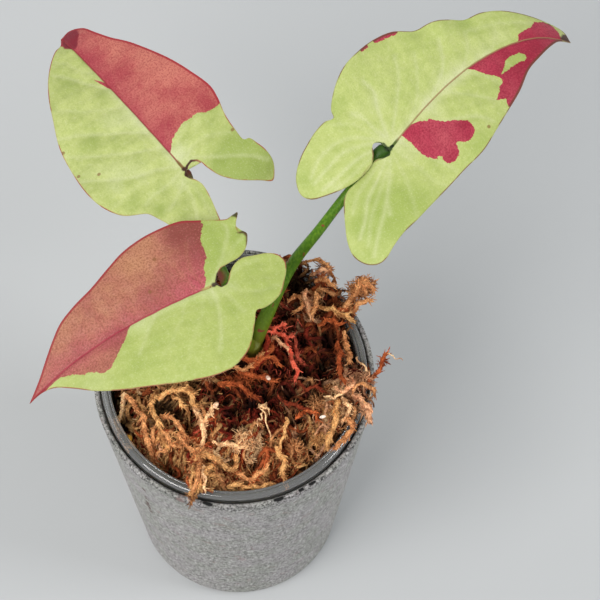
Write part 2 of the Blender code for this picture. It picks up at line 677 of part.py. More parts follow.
def make_leaf(leaf, material):
    """A blade: its flat sheet bent into shape, then given its thickness half up and half down."""
    flat, triangles = flat_sheet(leaf)
    mesh = bpy.data.meshes.new(leaf["name"])
    mesh.from_pydata((leaf_point(leaf, flat) * MM).tolist(), [], triangles)
    blade = add_object(leaf["name"], mesh, material)
    solid = blade.modifiers.new("thickness", "SOLIDIFY")
    solid.thickness = BLADE_THICKNESS * MM
    solid.offset = 0.0
    return blade


def main():
    clear_scene()
    make_outer_pot()
    make_inner_pot()
    make_moss()
    make_stem_and_petioles()
    make_roots()
    lime = make_material("leaf_lime", (0.52, 0.61, 0.20), 0.5)
    for leaf in LEAVES:
        make_leaf(leaf, lime)


main()
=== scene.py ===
"""Looks of a young arrowhead plant in moss, in a clear nursery pot inside a stone-look pot.

Lengths are in millimetres and MM turns them into metres. The origin is the centre of the outer
pot's foot, +Z is up and the camera looks along +Y and down.
"""
import math

import bmesh
import bpy
import numpy as np
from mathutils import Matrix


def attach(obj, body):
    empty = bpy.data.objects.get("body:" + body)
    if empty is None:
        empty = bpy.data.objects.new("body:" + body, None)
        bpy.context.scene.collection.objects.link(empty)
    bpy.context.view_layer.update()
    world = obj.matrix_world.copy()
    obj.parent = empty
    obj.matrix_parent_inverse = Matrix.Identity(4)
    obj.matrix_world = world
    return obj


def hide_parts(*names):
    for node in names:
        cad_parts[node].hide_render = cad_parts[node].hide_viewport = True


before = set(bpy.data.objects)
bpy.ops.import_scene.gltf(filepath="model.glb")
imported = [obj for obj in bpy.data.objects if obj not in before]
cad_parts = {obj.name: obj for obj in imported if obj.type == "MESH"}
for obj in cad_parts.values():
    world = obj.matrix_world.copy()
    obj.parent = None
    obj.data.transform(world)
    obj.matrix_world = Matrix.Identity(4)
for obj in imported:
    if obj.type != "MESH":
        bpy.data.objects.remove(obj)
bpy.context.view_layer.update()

MM = 0.001
SEED = 8
JOIN_DISTANCE = 0.002
CURVE_PARTS = 24
TUBE_TIP = 0.8

# Pots
POT_HEIGHT = 89.6
POT_TOP_RADIUS = 35.0
POT_FOOT_RADIUS = 26.2
POT_FOOT_ROUNDING = 3.0
POT_WALL = 1.4
POT_FLOOR = 2.6
POT_CORNER = 1.5
LIP_TOP = 91.3
LIP_HEIGHT = 2.8
LIP_INNER_RADIUS = 31.0
LIP_RADIUS = 33.3
LIP_BEAD = 0.36
LIP_ROLL = 1.15
CUP_TOP_RADIUS = 32.0
CUP_FOOT_RADIUS = 23.8
CUP_CORNER = 1.2
CUP_BEND = 2
CUP_FLOOR_EDGE = 1.6
CUP_WALL = 0.8
CUP_FOOT = 2.9
TURN_STEPS = 192
# Dark dashes on the stone rim: direction in degrees, distance from the axis and size
RIM_MARKS = [
    (-102, 34.2, 0.5), (-101, 34.3, 0.55), (-100, 34.4, 0.6), (-99.1, 34.5, 0.45), (-72.6, 34.4, 0.45),
    (-71.6, 34.5, 0.6), (-70.6, 34.5, 0.65), (-69.6, 34.4, 0.5), (-61.4, 34.4, 0.5), (-60.5, 34.4, 0.5),
    (-56.6, 34.3, 0.45), (-55.6, 34.4, 0.5), (-54.6, 34.4, 0.4),
]
# A pinkish smudge under the rim, and brown marks that trail down the wall: place and size
RIM_SMUDGE = ((-12.9, -31.8, 88.2), 1.8)
WALL_MARKS = [
    ((-22.9, -25.2, 77.2), 0.5), ((-22.5, -25.0, 76.2), 0.8), ((-22.2, -25.0, 75.2), 0.6),
    ((-22.6, -24.2, 68.8), 0.6), ((-22.1, -24.4, 67.7), 0.7), ((-22.4, -23.8, 66.9), 0.5),
    ((-22.0, -23.8, 63.9), 0.7), ((-22.3, -23.4, 62.8), 0.9), ((-21.9, -23.6, 61.7), 0.8),
    ((-22.3, -23.0, 60.3), 0.8), ((-21.9, -23.2, 59.1), 0.9), ((-21.7, -23.1, 57.9), 0.7),
    ((-21.3, -23.4, 56.3), 0.7), ((-21.5, -23.0, 55.2), 0.6),
]

# Moss
MOSS_RADIUS = 30.2
MOSS_EDGE_LEVEL = LIP_TOP - 5.5
MOSS_MOUND_HEIGHT = 7.0
MOSS_OVERHANG_LEVEL = LIP_TOP + 3.6
MOSS_WAVES = [(20, 9.0, 0.0), (75, 7.5, 1.3), (130, 8.2, 2.1), (165, 6.4, 0.7)]
MOSS_FINE_WAVES = [(5, 2.3, 0.4), (50, 1.9, 1.9), (100, 2.6, 2.8), (150, 2.1, 0.9)]
# Tufts that hang over the lip: direction, length and half width in degrees
MOSS_TUFTS = [(-14, 5.5, 15), (37, 5.0, 13), (60, 3.2, 10), (-105, 3.2, 6)]
TUFT_START_RADIUS = 18.0
TUFT_RAMP = 12.0
TUFT_CLIMB = 1.2
BED_DIRECTIONS = 240
BED_RINGS = 60
BED_SINK = 1.7
BED_GAP = 0.3
CROWN_HOLLOW = 1.0
CROWN_HOLLOW_RADIUS = math.sqrt(30)
MOSS_STEPS = 16
ROPES = 460
FRONT_ROPES = 90
ROPE_REACH = 29.4
ROPES_A_TUFT = 5
# Ropes to the left of this x run toward the front, in about this direction in radians
COMBED_BELOW = -6
COMBED_HEADING = -1.1
LEAFLETS_A_PIECE = 14000
HEAD_LEAVES = 56
FIBRES = 3000
FIBRES_BY_ROPES = 2000
FIBRE_STEPS = 6
FIBRE_REACH = 29.5
DARK_MIDDLE = (8, 2)
MOSS_COLOURS = {
    "rust": (0.52, 0.135, 0.045),
    "dark": (0.23, 0.040, 0.016),
    "golden": (0.77, 0.46, 0.195),
    "tan": (0.71, 0.36, 0.16),
    "straw": (0.95, 0.68, 0.40),
    "rose": (0.95, 0.19, 0.12),
    "wine": (0.33, 0.038, 0.018),
    "pink": (0.86, 0.50, 0.30),
}
# How common each colour is everywhere, and where it is more common: x, y, spread and weight
PLAIN_WEIGHT = {"rust": 0.6, "dark": 0.3, "golden": 0.1, "tan": 0.15, "straw": 0.03, "rose": 0.03,
                "wine": 0.04, "pink": 0.05}
MOSS_REGIONS = [
    ("golden", -17, -10, 12, 3.0), ("tan", -20, -4, 12, 1.4), ("straw", -20, -14, 9, 0.5),
    ("rust", -12, -20, 8, 1.6), ("tan", -6, -24, 10, 1.6), ("straw", -1, -20, 5, 1.6),
    ("golden", 6, -25, 14, 1.4), ("rust", 8, -22, 8, 1.2), ("tan", 14, -22, 10, 1.6),
    ("pink", 24, -9, 8, 1.6), ("tan", 22, -9, 7, 2.2), ("straw", 26, -10, 5, 1.6),
    ("golden", 26, -16, 7, 2.2), ("pink", 33, -5, 8, 3.0), ("rose", 12, 9, 4.5, 2.6),
    ("rose", 15, 0, 4, 1.6), ("wine", 3, -8, 8, 3.4), ("wine", 19, 2, 8, 2.6), ("rust", 22, 6, 9, 2.4),
    ("dark", 4, 4, 13, 1.2), ("dark", 22, 4, 8, 1.2), ("tan", 31, 20, 8, 4.0), ("golden", 32, 20, 8, 1.0),
    ("tan", 20, 25, 8, 3.0), ("rust", 20, 26, 8, 2.2), ("pink", 18, 18, 5, 2.0), ("rust", 27, 14, 7, 2.2),
    ("dark", 6, 18, 8, 1.6), ("golden", -8, -29, 5, 4.0), ("rust", 0, -4, 8, 1.2), ("tan", 2, 0, 6, 0.6),
]
# Deep gaps between the clumps: x, y, radius and depth
MOSS_GAPS = [
    (-18, -8.5, 2.6, 5), (-14.5, -10.5, 2, 4), (-11, -12, 1.3, 3), (-27, -10.5, 1.2, 3),
    (-28, -5.5, 1.5, 4), (0.5, -14, 2.4, 4.5), (-1, -10, 2, 4), (4, -8, 2, 4), (14, -12, 1.6, 4),
    (17, -16.5, 2, 4), (23, 9, 2.6, 5), (22.5, 2.5, 2.6, 5), (17, 8.5, 1.3, 4), (23, 17, 1.6, 3),
    (5, -22, 1.5, 3), (-16, -22.5, 1.5, 3), (10.5, -25, 1.5, 3), (12, 2.5, 1.5, 3), (29.5, 3.5, 2.2, 6),
    (29.5, 8, 1.5, 5), (18, 0, 1.5, 4), (15, 24, 3.4, 6), (14, -6, 1.6, 4), (8, -6, 1.5, 3),
    (-21, -17.5, 1, 3), (0, 3, 3, 3), (20, -6, 1.5, 3), (26, 24, 2.5, 4),
]
# Strands listed one by one: colour, radius, and points of x, y and height over the ground
MOSS_STRANDS = [
    ("straw", 0.62, (-27, -4, 2.4), (-28.4, -9, 2.4), (-28.9, -12, 2.2), (-27.3, -14, 2.2),
     (-25, -18, 1.8)),
    ("tan", 0.62, (-27, -5.5, 2.6), (-24.5, -7.5, 3), (-22.8, -10.5, 3.2), (-22, -14, 3), (-21, -18, 2.4),
     (-20, -21, 1.4)),
    ("golden", 0.6, (-19, -4, 2), (-20.3, -8, 3.4), (-19.6, -12, 3.4), (-17.8, -15.5, 3), (-15.8, -19, 2)),
    ("golden", 0.6, (-20, -6.6, 3.2), (-16.5, -6, 3.6), (-13, -5.6, 3.4), (-9.5, -6.2, 2.6)),
    ("tan", 0.55, (-18.5, -10.8, 2), (-16, -12.2, 3.2), (-13.5, -14, 3.2), (-12, -17, 2.2)),
    ("straw", 0.6, (-10.2, -9, 2.2), (-8.8, -11, 3.4), (-7.7, -14, 3.6), (-7.5, -18, 2.4)),
    ("straw", 0.5, (-7.6, -14.5, 3.4), (-6.3, -12, 3.6), (-4.6, -10.2, 3.8)),
    ("golden", 0.65, (-11.5, -3.5, 2.4), (-10.6, -7, 3), (-9, -10, 2.6)),
    ("golden", 0.4, (-15.3, -6.8, 3.4), (-13.2, -8.6, 3.4), (-11.2, -10.4, 2.8)),
    ("tan", 0.5, (-13.5, -15.5, 2.4), (-11.8, -18.8, 3), (-8.9, -20.2, 2.8), (-5.5, -21, 2.4)),
    ("tan", 0.5, (-18.6, -13, 2.4), (-17.2, -15.8, 3), (-14.6, -18.6, 2)),
    ("tan", 0.38, (-20.3, -20.2, 1.6), (-17.5, -19, 2.6), (-15.2, -18.6, 2.4)),
    ("straw", 0.48, (-5.4, -18.4, 2.4), (-2, -19.2, 3.2), (0.6, -19.8, 3.4), (3, -18.6, 3)),
    ("golden", 0.62, (-9.6, -24.6, 2.4), (-7.5, -22.8, 3), (-5, -23.6, 3.4), (-2, -24.8, 3.4),
     (0.2, -23.4, 3), (0.2, -21.2, 2.4)),
    ("tan", 0.5, (-10, -20.6, 2.2), (-8.6, -23.4, 3), (-8.2, -26.8, 3.8), (-8.8, -30.2, 3.4),
     (-9.8, -33, 1.2), (-10.4, -35, -2.2)),
    ("golden", 0.5, (-4.5, -25.4, 2.6), (-6.2, -27.6, 3.6), (-7.6, -30, 3.2), (-8.4, -32.6, 1.4)),
    ("straw", 0.36, (-7.4, -26, 3.2), (-7.2, -28.8, 4.0), (-6.8, -31.2, 2.6), (-7.0, -33.2, 0.8)),
    ("golden", 0.4, (-9.4, -27.2, 3.4), (-10, -30, 3.2), (-10.2, -32.6, 1.4), (-9.8, -34.4, -1.2)),
    ("tan", 0.55, (0.5, -26, 2.6), (4, -26.6, 3), (7, -25.4, 2.8), (8.8, -23, 2)),
    ("golden", 0.5, (-1.5, -28.6, 2.4), (2, -28.4, 3), (6, -28.8, 2.8), (9.5, -27.6, 2)),
    ("golden", 0.55, (9.8, -19.6, 2.2), (12.2, -22.0, 3), (12.2, -25.6, 3.2), (13, -28.6, 2.2)),
    ("straw", 0.2, (6.6, -10.4, 4.6), (7.8, -13, 4.6), (9.4, -18, 3.4)),
    ("straw", 0.22, (7, -10.8, 4.4), (6.9, -13, 4), (5.8, -15.2, 3)),
    ("straw", 0.35, (6.2, -10.4, 4.4), (7.4, -10.2, 4.8), (8.6, -10.8, 4.4)),
    ("golden", 0.4, (13.4, -12.4, 3.8), (12.8, -15.4, 3.8), (11.8, -18.4, 3.2), (10.8, -20.6, 2.4)),
    ("golden", 0.7, (25.8, -9.4, 2.6), (25.2, -13, 3.2), (24.6, -16.6, 3), (22.8, -19.6, 2.2)),
    ("tan", 0.65, (28.4, -14, 2.4), (29.2, -16.6, 2.6), (27.4, -18.8, 2.6), (23.6, -19.8, 2.2)),
    ("straw", 0.5, (26.8, -8.6, 2.8), (28.4, -11, 3), (28, -13.4, 2.4), (26.8, -15, 2)),
    ("pink", 0.75, (29.5, -8, 2.2), (32, -9.6, 2.2), (33.6, -12, 1.4), (33.2, -14.4, 0.2)),
    ("pink", 0.42, (24.6, -4.4, 2.4), (26.4, -6.6, 3.2), (28.8, -6.2, 3.4), (30, -4.2, 2.8)),
    ("tan", 0.4, (29.2, -7.4, 2.6), (31.4, -5.4, 3.0), (33.8, -6, 2.4), (35, -8, 1.2)),
    ("straw", 0.3, (22.4, -7.4, 2.6), (24, -8.8, 3.4), (26.2, -8, 3.4), (27.2, -5.8, 2.8)),
    ("straw", 0.26, (30, 2.4, 2), (31.8, 0.4, 2.4), (33.4, -2.4, 2)),
    ("rust", 0.5, (33.6, -4.6, 1.4), (35.2, -1.8, 1.8), (36.8, 0.8, 2.2), (38.2, 3.4, 2.6)),
    ("straw", 0.14, (37.6, 3.2, 2.4), (39.2, 2.2, 2.6), (41.6, 1.4, 2.4)),
    ("rose", 0.42, (8.4, 8.6, 3.6), (10, 10, 4.2), (12.2, 11.2, 4.2), (13.2, 10.6, 3.6)),
    ("pink", 0.4, (9.2, 8.2, 4), (11, 7, 4.4), (12.8, 5.8, 4.2), (14.2, 4, 3.4)),
    ("rose", 0.5, (12.6, 8.4, 3.2), (13.8, 5, 3.6), (14.6, 2, 3.6), (16, -1.4, 3), (15.2, -3, 2.6)),
    ("rose", 0.5, (9, 11.4, 2.6), (11.5, 9, 3.2), (14.8, 8.6, 2.8)),
    ("pink", 0.62, (17.8, 20.8, 3.4), (17.8, 18, 4), (18.8, 15.4, 3.6), (19, 12.8, 2.6)),
    ("tan", 0.6, (20.4, 19.4, 3.4), (20.6, 16.6, 3.8), (19.4, 13.6, 3)),
    ("tan", 0.5, (13.6, 17, 2.8), (15, 19.4, 3.6), (17, 18.4, 3.8), (16.6, 16, 3.2), (15, 14.6, 2.4)),
    ("golden", 0.5, (20.6, 15.8, 3.2), (24, 14.6, 3.6), (27.5, 13, 3.2), (29.8, 12, 2)),
    ("rust", 0.5, (21, 11.6, 2.6), (24, 12.4, 3.2), (26.8, 11, 2.8)),
    ("tan", 0.62, (27.2, 10, 2.4), (28.2, 6.6, 3), (28.6, 3.4, 2.6), (28.8, 1, 1.8)),
    ("rust", 0.55, (25.8, 7.6, 2.6), (26.4, 3.6, 3), (26.2, -0.4, 2.6), (27.4, -3.6, 2.2)),
    ("tan", 0.65, (26.4, 14.4, 2), (28.8, 17.6, 2.6), (31, 20.4, 3), (33.2, 23.4, 2.6)),
    ("tan", 0.6, (29, 14.2, 2), (31.4, 16.6, 2.6), (34.6, 17.6, 2.2)),
    ("tan", 0.6, (30.4, 21.6, 2.4), (33, 21.4, 2.8), (35.2, 19.6, 2.2)),
    ("tan", 0.55, (31.4, 24.6, 2), (32.4, 22, 2.8), (32.6, 19, 2.8)),
    ("tan", 0.45, (17.4, 28.2, 2), (19.8, 28.8, 2.6), (22.4, 27.4, 2.8), (24.6, 25.2, 2.2),
     (24.8, 22.6, 1.6)),
    ("pink", 0.5, (18.8, 24.2, 2.4), (21.6, 25.4, 3), (24.4, 26.2, 2.4)),
    ("tan", 0.6, (20.4, 22.4, 2.6), (22.8, 22.8, 3), (24.8, 21.4, 2.4)),
    ("rust", 0.6, (-4, -3.6, 3), (0, -4.6, 3.6), (3.6, -5.4, 3), (5.6, -7.4, 2.4)),
    ("rust", 0.6, (0.6, 0, 3.2), (3.8, -1.6, 3.8), (7.4, -2.6, 3.6), (10.6, -3.4, 2.8)),
    ("dark", 0.45, (16, -3.4, 3), (18, -5.4, 3.4), (20.6, -4.6, 3.2), (22, -5.8, 2.6)),
    ("dark", 0.45, (11, -7.4, 3), (13.4, -9.6, 3.4), (16.2, -9.2, 3.4), (18.6, -11, 2.6)),
    ("rust", 0.4, (15.4, -12.6, 2.6), (17.4, -10.8, 3.4), (19.8, -11.6, 3.2), (21, -13.6, 2.4)),
    ("rust", 0.6, (-0.5, 3, 2.6), (2.6, 1.6, 4.4), (6.6, 1.8, 4.8), (9, 4.4, 4.4), (9.2, 8, 3)),
    ("wine", 0.55, (5.2, -0.4, 3.0), (7.6, 2.2, 5.0), (8.2, 5.6, 5.2), (7.6, 9.8, 4)),
    ("rust", 0.5, (3.4, -0.6, 3), (6.4, 0.8, 5), (9.6, 2, 4.6), (11.6, 0.4, 3.2)),
    ("tan", 0.45, (-2, 0.6, 2.8), (1.6, -0.4, 4.4), (5, 0.6, 4.6), (7, 3, 5.2)),
]
# Fluffy heads of fine curled leaves: colour, x, y, height over the ground and radius
MOSS_HEADS = [
    ("straw", 2.2, -16.8, 2.4, 2.4), ("straw", 4.6, -18.6, 2.2, 2.0), ("straw", 0.4, -19.4, 2.6, 1.4),
    ("straw", 3.8, -21.8, 1.4, 1.1), ("tan", 21, -8.6, 2.0, 2.6), ("tan", 23.6, -5.4, 2.0, 2.0),
    ("straw", 26, -5.6, 2.2, 1.8), ("pink", 29.6, -4.6, 2.2, 2.2), ("pink", 33, -3.8, 1.8, 1.9),
    ("straw", 27.6, -11.6, 2.2, 1.8), ("tan", 31, 20.4, 2.8, 3.0), ("tan", 33.4, 21.8, 2.4, 2.0),
    ("tan", 28.6, 16.6, 2.2, 2.0), ("pink", 22.4, 26.4, 2.2, 2.2), ("rust", 21.6, 22.8, 2.4, 1.6),
    ("golden", -8, -28, 3.0, 1.8), ("golden", -8.8, -31.4, 2.0, 1.6), ("tan", -9.9, -33.6, 0.2, 1.1),
    ("rust", 37, 1.4, 1.8, 0.9), ("tan", -8.4, -22.4, 2.6, 1.6), ("golden", -17.6, -16.2, 2.2, 1.6),
    ("pink", 18.4, 17.4, 3.2, 1.6), ("rust", 2.4, -2.2, 3.2, 2.2), ("tan", -12.6, -17, 2.4, 2.0),
    ("pink", -6.6, -1.6, 2.6, 1.8), ("rust", 7.6, 2.4, 3.6, 1.7), ("wine", 9.4, 5.6, 3.2, 1.6),
    ("tan", 15.4, -18.8, 2.2, 2.0), ("golden", 21, -16.6, 2.2, 2.2), ("pink", 32.4, -11.6, 1.4, 1.4),
]
# Small bits on the moss: x, y, height over the ground, radius, length, direction and colour
MOSS_BITS = [
    (8.5, -3.0, 4.6, 0.5, 1.5, 2.4, (0.95, 0.8, 0.72)),
    (22.0, -13.6, 4.4, 0.42, 1.7, 0.2, (0.95, 0.88, 0.84)),
    (-4.4, -10.2, 5.0, 0.62, 1.9, 0.9, (0.92, 0.66, 0.48)),
    (-25.9, -15.4, 3.2, 0.62, 1.8, 2.0, (0.78, 0.46, 0.08)),
]

# Stem and petioles
STEM_PLACE = (4.4, 5.8)
STEM_RADIUS = 3.0
STEM_FOOT = 62.0
STEM_TOP = 97.5
PETIOLE_FOOT = STEM_TOP - 4
PETIOLE_FOOT_RADIUS = 2.1
PETIOLE_TOP_RADIUS = 1.15
PETIOLE_SIDES = 24
PETIOLE_STEPS = 48
PETIOLE_WAYS = {
    "leaf_right": [(7, 9.4, 100.5), (13.9, 20.3, 110.5), (21.3, 25, 123.5), (28.2, 31, 132)],
    "leaf_left_back": [(2.4, 9.6, 101), (-3.2, 20.5, 110.5), (-8, 30, 119)],
    "leaf_left_front": [(2.4, 4.4, 103), (-1.4, 2.6, 114), (-3.6, 3.4, 124.5)],
}
# Red spots on the petioles and painted shade at the right leaf's joint: place, radius and colour
PETIOLE_SPOTS_AND_SHADE = [
    ((14.3, 21.3, 112.0), 1.3, (0.40, 0.02, 0.04)), ((-3.9, 18.9, 109.2), 2.9, (0.30, 0.085, 0.055)),
    # Painted shade at the right leaf's joint
    ((36.6, 38.6, 137.8), 3.4, (0.03, 0.085, 0.006)), ((38.0, 39.8, 139.4), 1.8, (0.008, 0.02, 0.003)),
]

# Blades: half thickness at the middle and at the margin, and the rows and columns of one half
HALF_BLADE = 0.2
HALF_MARGIN = 0.08
LOBE_ROWS = 46
MIDRIB_ROWS = 124
BLADE_COLUMNS = 46
BLADE_ARCH = 0.006
# Half widths of a side vein, of the puckers by it and of the panel between two of them
VEIN_WIDTH = 0.55
PUCKER_WIDTH = 0.9
PANEL_WIDTH = 1.9

# Each outline side runs from the notch at the petiole down the inner edge of its lobe, round the
# lobe, and along the blade to the tip: first along the midrib, then to its left. Patches, islands in
# them, dark spots, flecks, veins and tones give how far along the midrib, then how far to the left
# of the bowed midrib. A vein starts with its strength, and a tone ends with its spread and amount.
# A ripple is a place, its spread and its height.
LEAF_RIGHT = {
    "name": "leaf_right",
    "left": [
        (-0.3, 0), (-0.5, 1.9), (-2.2, 3.4), (-3, 3.2), (-4.3, 1.1), (-6.3, -0.6), (-10.8, -1.6),
        (-15.2, -1.1), (-19.7, 0.5), (-22.6, 2.1), (-23.8, 4.5), (-22.6, 8), (-19, 11.2), (-15, 13.2),
        (-11.4, 14.5), (-8.5, 14.9), (-6.4, 14.2), (-5.4, 16.3), (-2.2, 19.5), (3.4, 23), (9.5, 24.7),
        (15, 25.3), (20, 24.5), (24.6, 21.7), (29, 20.8), (33.7, 19), (37.5, 17.2), (42.6, 16.5),
        (47.6, 14.4), (52.3, 11.1), (57, 7.2), (60.6, 3.4), (60, 0),
    ],
    "right": [
        (-0.3, 0), (-0.5, -0.6), (-1.4, -1.1), (-2.7, -0.8), (-4.4, -0.1), (-6.6, -0.5), (-9, -1.2),
        (-11.8, -1.7), (-14.6, -2.1), (-16.8, -3.3), (-18.5, -5.4), (-20.6, -8.5), (-22.8, -12.2),
        (-23.8, -15.8), (-23.2, -18.3), (-22, -20), (-20, -21.2), (-18, -21.2), (-15.3, -20.2),
        (-11.5, -19.2), (-7.5, -18.8), (-2.1, -17.8), (4, -16.6), (11, -15.1), (18.1, -13.9),
        (24.5, -11.3), (30.8, -8.6), (36.6, -6), (42.7, -2.5), (47.8, -1), (53, 0.4), (56.4, 1), (60, 0),
    ],
    "patches": [
        [(4.5, 0), (8, 0), (10.5, -1.3), (12, -2.7), (13, -2.9), (13.5, -4), (14.5, -5.3), (16.5, -7.2),
         (18.5, -8.6), (20, -10.4), (20, -11.9), (19.5, -13.3), (18.5, -14.1), (16.5, -14.2), (15, -12.9),
         (14, -12.1), (13.5, -12.5), (13, -13.9), (12, -14.7), (10, -14.7), (8.5, -13.8), (8.5, -11.3),
         (8, -10.7), (7.5, -11), (6.5, -10.3), (5.5, -8.5), (5, -6.9), (5, -2.9)],
        [(29.5, 0), (46, 0.2), (47, 2), (49, 2.5), (51.5, 3.3), (53.5, 5), (55.5, 5.3), (57.5, 5.2),
         (58.5, 4.2), (58, 1), (57, -3), (50, -14), (36, -22), (31, -14.2), (31, -13.7), (32, -12.3),
         (29.5, -11.2), (32, -9.8), (32.5, -8.8), (35, -7.9), (34.5, -6.4), (33, -4.8), (32, -3.8),
         (31.5, -2.3)],
        [(15, 20.2), (18, 19.2), (21, 17.9), (22, 19.5), (18, 22.5), (14, 24)],
        [(10.5, 21.3), (12.8, 20.9), (13, 22.5), (10, 23.5)],
    ],
    "islands": [
        [(39, -3.7), (41, -3), (43.5, -3.2), (44.5, -4), (44.5, -5), (43, -5.7), (40.5, -5.6), (39, -5.9),
         (36.5, -6.4), (35.5, -6.3), (37, -5.3)],
    ],
    "dark": [
        [(59.5, 2.5), (62.5, 3), (63, 1.5), (59, -1.5), (58.5, -0.5), (57.5, 0.5)],
    ],
    "ripples": [
        ((31, 19), 3.2, 0.9), ((26, 21), 2.6, -0.9), ((38, 16), 2.6, -0.6), ((-7, 13.5), 2.4, 0.5),
        ((-22, 3), 4, -0.6),
    ],
    "flecks": [(23.0, -15.2)],
    "veins": [
        (1, (1.5, 2.5), (3, 6.5), (4, 9), (6, 12.5), (5.5, 16)),
        (0.8, (1, 3), (0, 6), (-0.5, 10), (-2, 12.5)),
        (0.7, (3.5, 2.5), (6.5, 4.5), (10, 7), (14, 10.5), (16.5, 14.5)),
        (0.5, (8.5, 0.5), (13.5, 3), (17, 6), (21, 11.5)),
        (0.8, (18, 1), (22, 2.5), (25, 4.5), (28.5, 10)), (0.5, (25.5, 0), (30, 1.5), (34, 5), (35.5, 8)),
        (0.4, (33, -1), (38.5, 1), (42, 4), (43.5, 7)),
        (0.5, (35.5, 8), (41, 7), (46, 6), (50.5, 5), (53, 4.5)),
        (0.8, (-2, 4.5), (-5.5, 7.5), (-10, 9), (-15, 8.5), (-19.5, 6)),
        (0.9, (-2.5, 3.5), (-6, 5), (-10, 6), (-14.5, 5.5), (-19.5, 4.5)),
        (1, (-3.5, 2), (-6.5, 2.5), (-11, 2.5), (-15, 2), (-19, 2)),
        (0.6, (-4.5, 1), (-8.5, 0.5), (-13, 0), (-16.5, 0)), (0.4, (-1, 5), (-3.5, 10), (-7.5, 13)),
        (0.9, (-1.5, -2), (-5.5, -6.5), (-9, -10), (-11, -13.5)),
        (1, (-2.5, -1.5), (-7.5, -4.5), (-12.5, -7), (-16, -10.5), (-20, -13.5)),
        (0.6, (-3, -1), (-9.5, -3), (-13.5, -4.5), (-17.5, -7.5)),
        (0.9, (-7.5, -8.5), (-12, -12.5), (-16, -15.5), (-20, -19)),
        (0.6, (-4, -4), (-10, -8), (-14.5, -11), (-19.5, -16)),
        (0.4, (-0.5, -1.5), (-2, -8), (-4, -13), (-6.5, -18)),
        (0.4, (1, -1), (2, -7.5), (3, -13.5), (4.5, -17)), (0.5, (3, 0), (4.5, -5), (6.5, -10), (9, -16)),
        (0.7, (8, -0.5), (12, -3.5), (16.5, -7), (22.5, -11), (25, -15)),
        (0.5, (20, -0.5), (23.5, -4), (27, -8), (29.5, -11)),
        (0.4, (28.5, -0.5), (31.5, -4), (33.5, -8), (34.5, -12)),
        (0.4, (36.5, -1.5), (38.5, -4), (40, -7.5), (40, -10)),
    ],
    "tones": [
        (0, 3, 2.2, 0.9), (3, -0.5, 2, 0.6), (5, 10, 2.5, 0.5), (-1.5, 12, 2.5, 0.4), (-3.5, 16, 3, -0.6),
        (15, 0.5, 2.5, 0.8), (22.5, 0.5, 3, 0.8), (27.5, 1, 2.5, 0.6), (13.5, 5.5, 4, -0.2),
        (24.5, 14.5, 4, -0.5), (37, 10, 3, -0.8), (36, 0.5, 3.5, 0.5), (43, 2, 3, 0.5), (22, -3, 3, -0.2),
        (28.5, -7.5, 3, -0.2), (15, -3.5, 2.5, 0.5), (3, -4.5, 3, 0.5), (20, -17, 3, -0.7),
        (-14, -13, 6, -0.6), (-4, -14, 5, -0.5), (15.5, -17, 3, -0.4), (-12.5, 8, 3, 0.3),
        (-21, 7, 2.5, -0.7), (-16.5, 1, 2.5, 0.6), (-5, -5, 2, 0.4), (-7, -11.5, 3, -0.3),
        (-13.5, -10, 2, 0.3), (-18.5, -10.5, 2.5, -0.3), (-17, -7, 2, 0.4), (-21.5, -18, 3, -0.4),
        (-12, -18, 3, -0.4), (-3.5, -17.5, 4, -0.3), (-21.5, -15, 2, 0.3), (12, -9, 2.5, 0.8),
        (11, -3, 1.5, 0.4), (7.5, -2, 1.5, -0.4), (18.5, -10.5, 2, -0.6), (10.5, -13, 1.8, -0.5),
        (33.5, -2, 2, 0.3), (40, -1.5, 2, -0.5), (49, -2, 2.5, -0.5), (37, -9, 2, 0.3),
        (-12, -11, 9, -0.75), (-12, 6, 8, -0.2), (41, -8, 7, -0.8), (47, -3, 5, -0.5),
    ],
}
